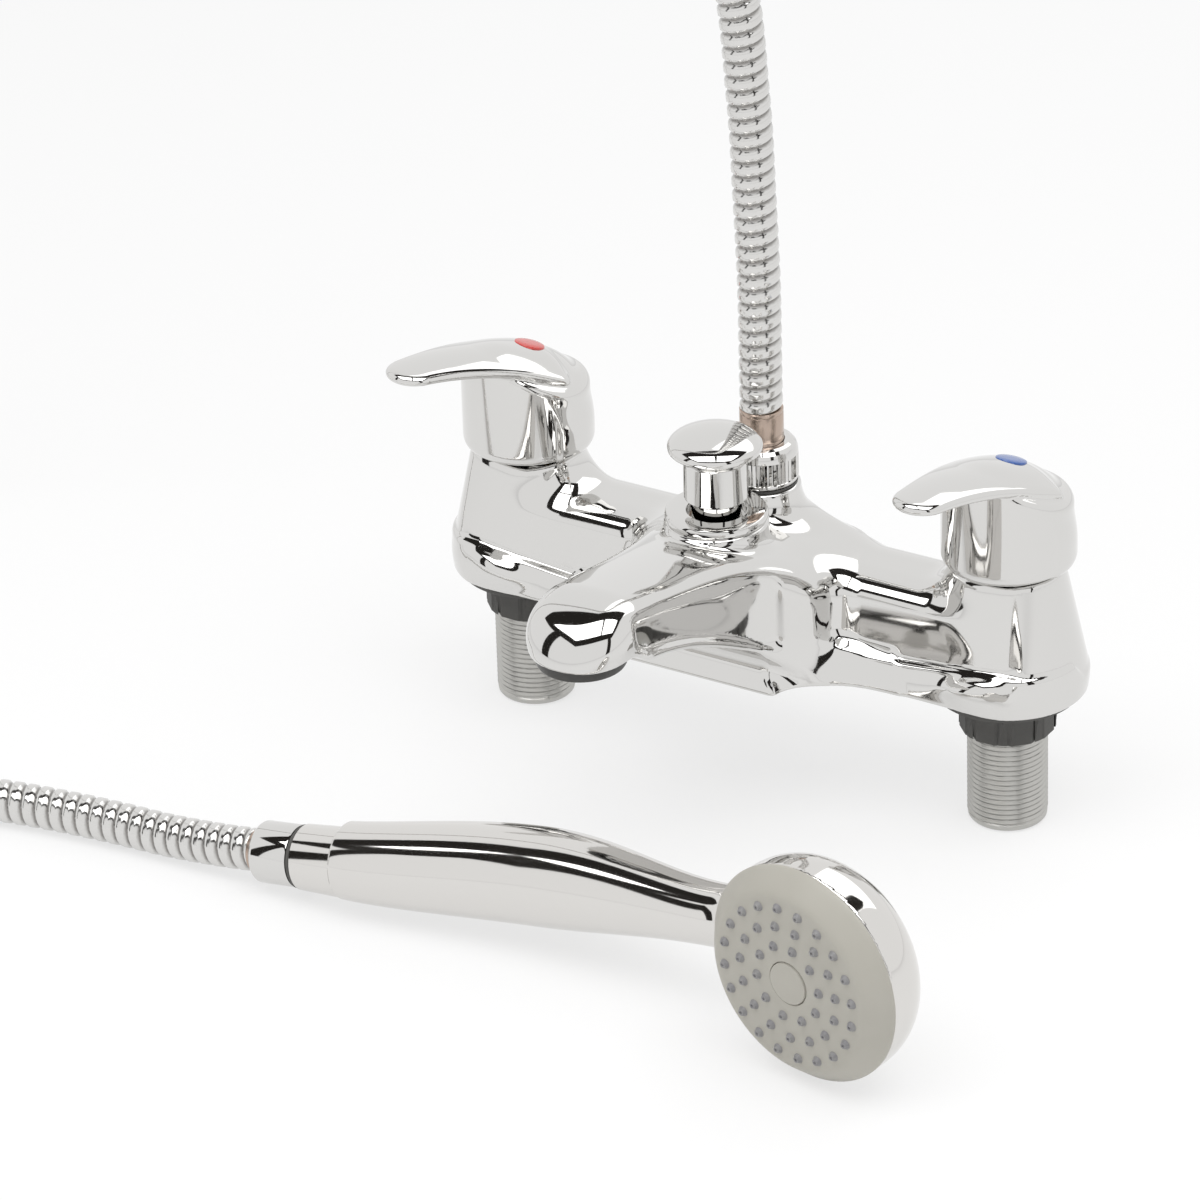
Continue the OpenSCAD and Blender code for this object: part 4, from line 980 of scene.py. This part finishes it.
class MIXER_OT_levers(bpy.types.Operator):
    """Casts the two levers and turns their indices"""

    bl_idname = "mixer.levers"
    bl_label = "Levers"

    def execute(self, context):
        lever = skin("lever_casting", lever_field, (-26, -57, -2), (26, 26, 46), sizes().lever_step / MM)
        disc = turned("index_disc", (
            (0.01, -1.9), (5.1, -1.9), (5.2, -1.7), (5.2, 0.5),
            (5.0, 0.9), (4.4, 1.1), (2.5, 1.2), (0.01, 1.25)), sides=48)
        # It lies on the crown, which falls to the back there
        placed(disc, at(0, 2, lever_top(2.0)) @ turn("X", -math.degrees(math.atan(49 / 148))))
        for hand, side, bend, paint, slot in (
                ("hot", -1, -22, finishes().hot, "red_plastic"),
                ("cold", 1, -9, finishes().cold, "blue_plastic")):
            place = at(side * PILLAR_X, 0, LEVER_Z) @ turn("Z", bend)
            body = f"{hand}_lever"
            cast = copied(lever, place)
            cast.name = f"{hand}_lever_casting"
            handed_over(cast, body, chrome_plated_brass(), "chrome_on_brass", f"{hand}_lever")
            mark = copied(disc, place)
            mark.name = f"{hand}_index_disc"
            handed_over(mark, body, acrylic_index(f"{hand}_acrylic", paint), slot, f"{hand}_index")
        bpy.data.objects.remove(lever)
        bpy.data.objects.remove(disc)
        return {"FINISHED"}


def wound_thread(pitch, root):
    """Thread of a tail: one tooth, wound up the tail."""
    put_down()
    tooth = bpy.data.meshes.new("tooth")
    heights = (0.0, 0.36, 0.5, 0.86, 1.0)
    radii = (root, THREAD_R - 0.05, THREAD_R - 0.05, root, root)
    corners = [(r * MM, 0, h * pitch * MM) for r, h in zip(radii, heights)]
    tooth.from_pydata(corners, [(i, i + 1) for i in range(4)], [])
    thread = bpy.data.objects.new("thread", tooth)
    bpy.context.scene.collection.objects.link(thread)
    pick_up(thread)
    wind = thread.modifiers.new("wind", "SCREW")
    wind.axis = "Z"
    wind.screw_offset = pitch * MM
    wind.iterations = int((THREAD_STOP - THREAD_START) / pitch)
    wind.steps = 64
    wind.render_steps = 64
    wind.use_merge_vertices = True
    wind.merge_threshold = 0.00001
    bpy.ops.object.modifier_apply(modifier="wind")
    placed(thread, at(0, 0, THREAD_START))
    return closed_up(thread, 50)


def seal_spigot():
    """Spigot of a base seal: eight sides with rounded corners, and a step in its lower end."""
    put_down()
    bpy.ops.mesh.primitive_cylinder_add(
        vertices=8, radius=16.5 * MM, depth=13 * MM, location=(0, 0, -6.5 * MM))
    spigot = bpy.context.object
    bpy.ops.object.transform_apply(location=True)
    bpy.ops.object.mode_set(mode="EDIT")
    bpy.ops.mesh.select_all(action="DESELECT")
    bpy.ops.object.mode_set(mode="OBJECT")
    for edge in spigot.data.edges:
        a, b = (spigot.data.vertices[i].co for i in edge.vertices)
        edge.select = abs(a.z - b.z) > 5 * MM
    bpy.ops.object.mode_set(mode="EDIT")
    bpy.ops.mesh.select_mode(type="EDGE")
    bpy.ops.mesh.bevel(offset=3 * MM, segments=4)
    bpy.ops.object.mode_set(mode="OBJECT")
    for face in spigot.data.polygons:
        face.select = abs(face.normal.z) > 0.9 and face.center.z < -6 * MM
    bpy.ops.object.mode_set(mode="EDIT")
    bpy.ops.mesh.select_mode(type="FACE")
    bpy.ops.mesh.inset(thickness=0.6 * MM)
    bpy.ops.transform.translate(value=(0, 0, -0.1 * MM))
    bpy.ops.mesh.inset(thickness=2.2 * MM)
    bpy.ops.transform.translate(value=(0, 0, 0.4 * MM))
    bpy.ops.object.mode_set(mode="OBJECT")
    bpy.ops.object.shade_smooth_by_angle(angle=math.radians(30))
    return spigot


class MIXER_OT_tails(bpy.types.Operator):
    """Cuts the threads of the inlet tails and moulds their base seals"""

    bl_idname = "mixer.tails"
    bl_label = "Tails and seals"

    def execute(self, context):
        size = sizes()
        root = THREAD_R - size.thread_depth / MM
        thread = wound_thread(size.thread_pitch / MM, root)
        tube = turned("tail_tube", (
            (INLET_R, -46.5), (11.6, -46.5), (12.4, -46.2), (12.9, -45.5), (13.0, -44.6),
            (root, -44.0), (root, -14.5), (root, FOOT_Z + 1), (INLET_R, FOOT_Z + 1), (INLET_R, -46.5)),
            sides=64)
        tail = joined([tube, thread], "tail")
        flange = turned("flange", (
            (13.6, 0.0), (23.2, 0.0), (23.8, 0.3), (24.0, 0.8),
            (24.0, 1.6), (23.7, FOOT_Z), (13.6, FOOT_Z), (13.6, 0.0)))
        seal = joined([flange, seal_spigot()], "seal")
        for hand, side in (("hot", -1), ("cold", 1)):
            place = at(side * PILLAR_X, 0, 0)
            one = copied(tail, place @ turn("Z", 40 * side))
            one.name = f"{hand}_tail_thread"
            handed_over(one, "mixer", satin_nickel_thread(), "satin_thread", f"{hand}_tail")
            other = copied(seal, place @ turn("Z", 22.5))
            other.name = f"{hand}_seal_ring"
            handed_over(other, "mixer", nitrile_rubber(), "black_rubber", f"{hand}_base_seal")
        bpy.data.objects.remove(tail)
        bpy.data.objects.remove(seal)
        return {"FINISHED"}


class MIXER_OT_diverter(bpy.types.Operator):
    """Turns the diverter's knob and collar, and the outlet ring"""

    bl_idname = "mixer.diverter"
    bl_label = "Diverter and outlet"

    def execute(self, context):
        dome = [(15.5 * math.cos(a), 80.3 + 5.6 * math.sin(a)) for a in np.radians(range(6, 90, 6))]
        knob = turned("diverter_cap", [
            (4.2, 54.9), (7.8, 54.9), (8.0, 55.1), (8.0, 61.0), (8.4, 61.7), (10.1, 62.2), (10.45, 62.6),
            (10.5, 63.2), (10.5, 75.2), (10.7, 76.2), (11.6, 77.2), (13.6, 78.3), (15.0, 79.1), (15.4, 79.7),
            *dome, (0.01, 85.9)])
        placed(knob, at(0, DIVERTER_Y, 0))
        handed_over(knob, "diverter", chrome_plated_brass(), "chrome_on_brass", "diverter_knob")
        collar = turned("diverter_seat", (
            (4.1, 54.4), (9.5, 54.45), (9.6, 54.7), (9.6, 57.0), (9.9, 57.4), (10.6, 57.5), (15.6, 57.5),
            (16.3, 57.3), (16.7, 56.8), (16.8, 56.2), (16.8, 55.4), (16.4, 54.9), (16.3, 54.5), (9.9, 54.3),
            (9.9, 46.0), (4.1, 46.0), (4.1, 54.4)))
        placed(collar, at(0, DIVERTER_Y, 0))
        handed_over(collar, "mixer", chrome_plated_brass(), "chrome_on_brass", "diverter_collar")
        ring = turned("outlet_ring", (
            (10.6, 46.4), (10.6, 42.9), (11.0, 42.5), (13.4, 42.5),
            (14.1, 42.8), (14.5, 43.5), (14.5, 46.4), (10.6, 46.4)))
        placed(ring, at(0, OUTLET_Y, 0))
        handed_over(ring, "mixer", black_acetal(), "black_plastic", "spout_outlet")
        return {"FINISHED"}


class MIXER_OT_fittings(bpy.types.Operator):
    """Turns the knurled hose nut, its seal and the nickel ferrule"""

    bl_idname = "mixer.fittings"
    bl_label = "Hose fittings"

    def execute(self, context):
        size = sizes()
        flutes = size.knurl_count
        nut_r = 11.8
        nut = turned("knurled_nut", (
            (10.55, 55.7), (11.1, 55.7), (11.6, 56.0), (nut_r, 56.5), (nut_r, 57.2), (nut_r, 57.3),
            (nut_r, 65.0), (nut_r, 65.1), (11.7, 66.6), (11.2, 68.0), (10.3, 69.0), (9.2, 69.5),
            (7.5, 69.5), (7.5, 67.0), (10.55, 67.0), (10.55, 55.7)), sides=flutes * 2)
        # Every second row of corners on the nut's straight outside goes in, which makes the flutes
        for point in nut.data.vertices:
            turned_by = math.atan2(point.co.y, point.co.x) / math.pi * flutes
            outside = math.hypot(point.co.x, point.co.y) > 11.7 * MM
            if outside and 57.25 * MM < point.co.z < 65.05 * MM and round(turned_by) % 2:
                point.co.xy *= 1 - size.knurl_depth / (nut_r * MM)
        closed_up(nut, 20)
        handed_over(nut, "hose_nut", chrome_plated_brass(), "chrome_on_brass", "hose_nut")
        seal = turned("nut_seal", (
            (10.0, 54.5), (11.3, 54.5), (11.55, 54.7), (11.55, 55.2), (11.3, 55.4), (10.0, 55.4),
            (10.0, 54.5)))
        handed_over(seal, "mixer", nitrile_rubber(), "black_rubber", "nipple_seal")
        ferrule = turned("hose_sleeve", (
            (5.0, 65.5), (9.9, 65.5), (9.9, 67.0), (7.2, 67.0), (7.2, 70.2), (7.05, 70.5), (7.2, 70.8),
            (7.2, 79.2), (7.05, 79.5), (7.2, 79.8), (7.2, 80.6), (6.9, 81.0), (5.0, 81.0), (5.0, 65.5)),
            sides=64)
        handed_over(ferrule, "mixer", nickel_plated_steel(), "nickel", "hose_ferrule")
        return {"FINISHED"}


class MIXER_OT_handset(bpy.types.Operator):
    """Moulds the handset's shell and turns its nut, ring and collar"""

    bl_idname = "mixer.handset"
    bl_label = "Handset"

    def execute(self, context):
        step = sizes().handset_step / MM
        shell = skin("handset_shell", handset_field, (12, -50, -40), (252, 30, 40), step)
        placed(shell, on_handset())
        handed_over(
            shell, "mixer", chrome_plated_abs(), "chrome_on_plastic", "handset_handle", "handset_head")
        nut = turned("handset_cone_nut", (
            (7.2, -15.4), (8.9, -15.4), (9.6, -15.1), (10.05, -14.5), (10.2, -13.8), (10.2, -1.6),
            (10.1, -1.1), (9.8, -1.0), (8.3, -1.0), (8.3, -11.7), (7.2, -11.7), (7.2, -15.4)))
        placed(nut, along_grip())
        handed_over(nut, "handset_nut", chrome_plated_brass(), "chrome_on_brass", "handset_nut")
        ring = turned("handset_dark_ring", (
            (8.3, -0.7), (10.1, -0.7), (10.4, -0.4), (10.4, 0.4), (10.1, 0.7), (8.3, 0.7), (8.3, -0.7)))
        placed(ring, along_grip())
        handed_over(ring, "mixer", nitrile_rubber(), "black_rubber", "handset_ring")
        collar = turned("handset_sleeve", (
            (4.0, -8.9), (8.2, -8.9), (8.2, 0.7), (10.5, 0.7), (10.8, 1.0), (11.5, 16.2),
            (11.5, 16.7), (7.2, 16.7), (7.2, 24.7), (4.0, 24.7), (4.0, -8.9)))
        placed(collar, along_grip())
        handed_over(collar, "mixer", chrome_plated_abs(), "chrome_on_plastic", "handset_collar")
        return {"FINISHED"}


class MIXER_OT_spray_plate(bpy.types.Operator):
    """Moulds the spray plate with its nozzles and centre cap"""

    bl_idname = "mixer.spray_plate"
    bl_label = "Spray plate"

    def execute(self, context):
        plate = turned("spray_cone", (
            (0.01, 5.5), (7.2, 5.5), (7.3, 7.8), (7.5, 8.0), (28.6, 8.0), (29.4, 7.9), (30.2, 7.5),
            (31.4, 6.6), (35.2, 2.2), (36.1, 1.2), (36.4, 0.6), (36.4, 0.1), (35.6, 0.0), (33.8, -0.6),
            (0.01, -0.6)), sides=128, angle=28)
        placed(plate, on_head())
        handed_over(plate, "mixer", moulded_abs_face(), "beige_plastic", "spray_plate")
        one = turned("nozzle", (
            (1.75, 7.9), (1.6, 8.25), (1.3, 8.5), (1.15, 9.05), (0.95, 9.25), (0.55, 9.25), (0.45, 8.9),
            (0.01, 8.8)), sides=14)
        pins = []
        for count, ring in NOZZLE_RINGS:
            for i in range(count):
                pins.append(copied(one, turn("Z", 360 * i / count) @ at(ring, 0, 0)))
        bpy.data.objects.remove(one)
        mat = joined(pins, "nozzle_pins")
        placed(mat, on_head())
        handed_over(mat, "mixer", silicone_rubber(), "grey_rubber", "nozzle_mat")
        cap = turned("centre_cap", (
            (0.01, 5.6), (7.1, 5.6), (7.1, 8.0), (6.9, 8.35), (6.4, 8.5), (3.5, 8.58), (0.01, 8.6)),
            sides=64)
        placed(cap, on_head())
        handed_over(cap, "mixer", moulded_abs_face(), "beige_plastic", "plate_cap")
        return {"FINISHED"}


class MIXER_OT_inside(bpy.types.Operator):
    """Gives the CAD pieces that stay their finishes"""

    bl_idname = "mixer.inside"
    bl_label = "Inner pieces"

    def execute(self, context):
        finish = {
            "nickel": nickel_plated_steel,
            "ceramic": lapped_alumina,
            "brass": turned_brass,
            "steel": bright_zinc_steel,
            "black_rubber": nitrile_rubber,
            "white_plastic": acetal,
        }
        for part in frame["record"]["subparts"]:
            node = frame["nodes"][part["node"]]
            if node.hide_render:
                continue
            node.data.materials.clear()
            node.data.materials.append(finish[part["material_slot"]]())
        return {"FINISHED"}


def seen_by_eye(tree):
    """1 for what the eye sees, straight or by way of metal or glass, and 0 for what lights other things."""
    ray = add_node(tree, "ShaderNodeLightPath")
    either = add_node(
        tree, "ShaderNodeMath", {"operation": "MAXIMUM"},
        {0: ray.outputs["Is Camera Ray"], 1: ray.outputs["Is Glossy Ray"]})
    return add_node(
        tree, "ShaderNodeMath", {"operation": "MAXIMUM"},
        {0: either.outputs[0], 1: ray.outputs["Is Transmission Ray"]})


def matt_white_card():
    """Matt white card: mostly its own white to the eye, with enough of the lit card to keep the shadow."""
    made, tree = started("matt_white_card")
    shade = add_node(tree, "ShaderNodeBsdfDiffuse", {"Color": finishes().floor})
    glow = add_node(tree, "ShaderNodeEmission", {"Color": linear("#FFFFFF"), "Strength": 1.0})
    share = add_node(
        tree, "ShaderNodeMath", {"operation": "MULTIPLY", 1: 0.65}, {0: seen_by_eye(tree).outputs[0]})
    both = add_node(
        tree, "ShaderNodeMixShader",
        links={0: share.outputs[0], 1: shade.outputs[0], 2: glow.outputs[0]})
    add_node(tree, "ShaderNodeOutputMaterial", links={"Surface": both.outputs[0]})
    return made


def black_velvet():
    """Black velvet on the flags: a flat near-black that only metal mirrors."""
    made, tree = started("black_velvet")
    dark = add_node(tree, "ShaderNodeEmission", {"Color": linear("#2B2927"), "Strength": 1.0})
    add_node(tree, "ShaderNodeOutputMaterial", links={"Surface": dark.outputs[0]})
    return made


def studio_world():
    """White to the eye, and a softer light on everything."""
    world = bpy.data.worlds.new("studio")
    world.use_nodes = True
    tree = world.node_tree
    tree.nodes.clear()
    light = add_node(tree, "ShaderNodeBackground", {"Color": linear("#FFFFFF"), "Strength": 0.55})
    white = add_node(tree, "ShaderNodeBackground", {"Color": linear("#FFFFFF"), "Strength": 1.0})
    both = add_node(
        tree, "ShaderNodeMixShader",
        links={0: seen_by_eye(tree).outputs[0], 1: light.outputs[0], 2: white.outputs[0]})
    add_node(tree, "ShaderNodeOutputWorld", links={"Surface": both.outputs[0]})
    return world


class MIXER_OT_stage(bpy.types.Operator):
    """Lays a pale floor and sets a soft studio light"""

    bl_idname = "mixer.stage"
    bl_label = "Stage"

    def execute(self, context):
        context.scene.view_settings.view_transform = "Standard"
        context.scene.world = studio_world()
        put_down()
        bpy.ops.mesh.primitive_plane_add(size=14, location=(0, 0, FLOOR_Z * MM - 0.0003))
        floor = context.object
        floor.name = "floor"
        floor.data.materials.append(matt_white_card())
        # Two lamps overhead in a frame of black flags with a leg on each side, for the metal to mirror
        above = at(0, 0, 1400) @ turn("Z", 31.8)
        left_leg = turn("Z", -41) @ at(0, -1500, 500) @ turn("X", 90)
        right_leg = turn("Z", 61) @ at(0, -1500, 500) @ turn("X", 90)
        flags = []
        for place, left, right, low, high in (
                (above, -1600, 1250, -50, 450),
                (above, -1600, 1250, -1600, -1050),
                (above, -1600, -1250, -1100, 0),
                (above, 900, 1250, -1100, 0),
                (above, -40, 40, -1100, 0),
                (left_leg, -130, 130, -500, 1000),
                (right_leg, -130, 130, -500, 1000)):
            bpy.ops.mesh.primitive_plane_add(size=1)
            size = Matrix.Diagonal(((right - left) * MM, (high - low) * MM, 1, 1))
            flags.append(placed(context.object, place @ at((left + right) / 2, (low + high) / 2, 0) @ size))
        flag = joined(flags, "flags")
        flag.data.materials.append(black_velvet())
        flag.visible_camera = False
        flag.visible_diffuse = False
        flag.visible_shadow = False
        flag.visible_transmission = False
        for name, place, power, wide, deep in (
                ("left_pane", above @ at(-645, -550, 0), 9.0, 1.21, 1.0),
                ("right_pane", above @ at(470, -550, 0), 7.0, 0.86, 1.0),
                ("back", at(300, 1100, 1500) @ turn("X", -36), 5.0, 1.6, 1.2)):
            lamp = bpy.data.lights.new(name, "AREA")
            lamp.energy = power
            lamp.shape = "RECTANGLE"
            lamp.size = wide
            lamp.size_y = deep
            light = bpy.data.objects.new(name, lamp)
            context.scene.collection.objects.link(light)
            light.matrix_world = place
        return {"FINISHED"}


class MIXER_PT_panel(bpy.types.Panel):
    """Lists the mixer's steps"""

    bl_idname = "MIXER_PT_panel"
    bl_label = "Bath shower mixer"
    bl_space_type = "VIEW_3D"
    bl_region_type = "UI"
    bl_category = "Mixer"

    def draw(self, context):
        for kind in STEPS:
            self.layout.operator(kind.bl_idname)
        for group in (context.scene.mixer_sizes, context.scene.mixer_finishes):
            box = self.layout.box()
            for key in group.__annotations__:
                box.prop(group, key)


STEPS = (
    MIXER_OT_camera, MIXER_OT_hose, MIXER_OT_body, MIXER_OT_levers, MIXER_OT_tails, MIXER_OT_diverter,
    MIXER_OT_fittings, MIXER_OT_handset, MIXER_OT_spray_plate, MIXER_OT_inside, MIXER_OT_stage,
)
CLASSES = (MixerSizes, MixerFinishes, *STEPS, MIXER_PT_panel)


def register():
    """Adds the classes, and the sizes and finishes that a scene holds."""
    for kind in CLASSES:
        bpy.utils.register_class(kind)
    bpy.types.Scene.mixer_sizes = bpy.props.PointerProperty(type=MixerSizes)
    bpy.types.Scene.mixer_finishes = bpy.props.PointerProperty(type=MixerFinishes)


def unregister():
    """Takes the sizes, the finishes and the classes away again."""
    del bpy.types.Scene.mixer_finishes
    del bpy.types.Scene.mixer_sizes
    for kind in reversed(CLASSES):
        bpy.utils.unregister_class(kind)


def main():
    register()
    # New pieces go straight into the scene's own collection
    bpy.context.view_layer.active_layer_collection = bpy.context.view_layer.layer_collection
    bpy.ops.mixer.camera()
    bpy.ops.mixer.hose()
    bpy.ops.mixer.body()
    bpy.ops.mixer.levers()
    bpy.ops.mixer.tails()
    bpy.ops.mixer.diverter()
    bpy.ops.mixer.fittings()
    bpy.ops.mixer.handset()
    bpy.ops.mixer.spray_plate()
    bpy.ops.mixer.inside()
    bpy.ops.mixer.stage()


if __name__ == "__main__":
    main()
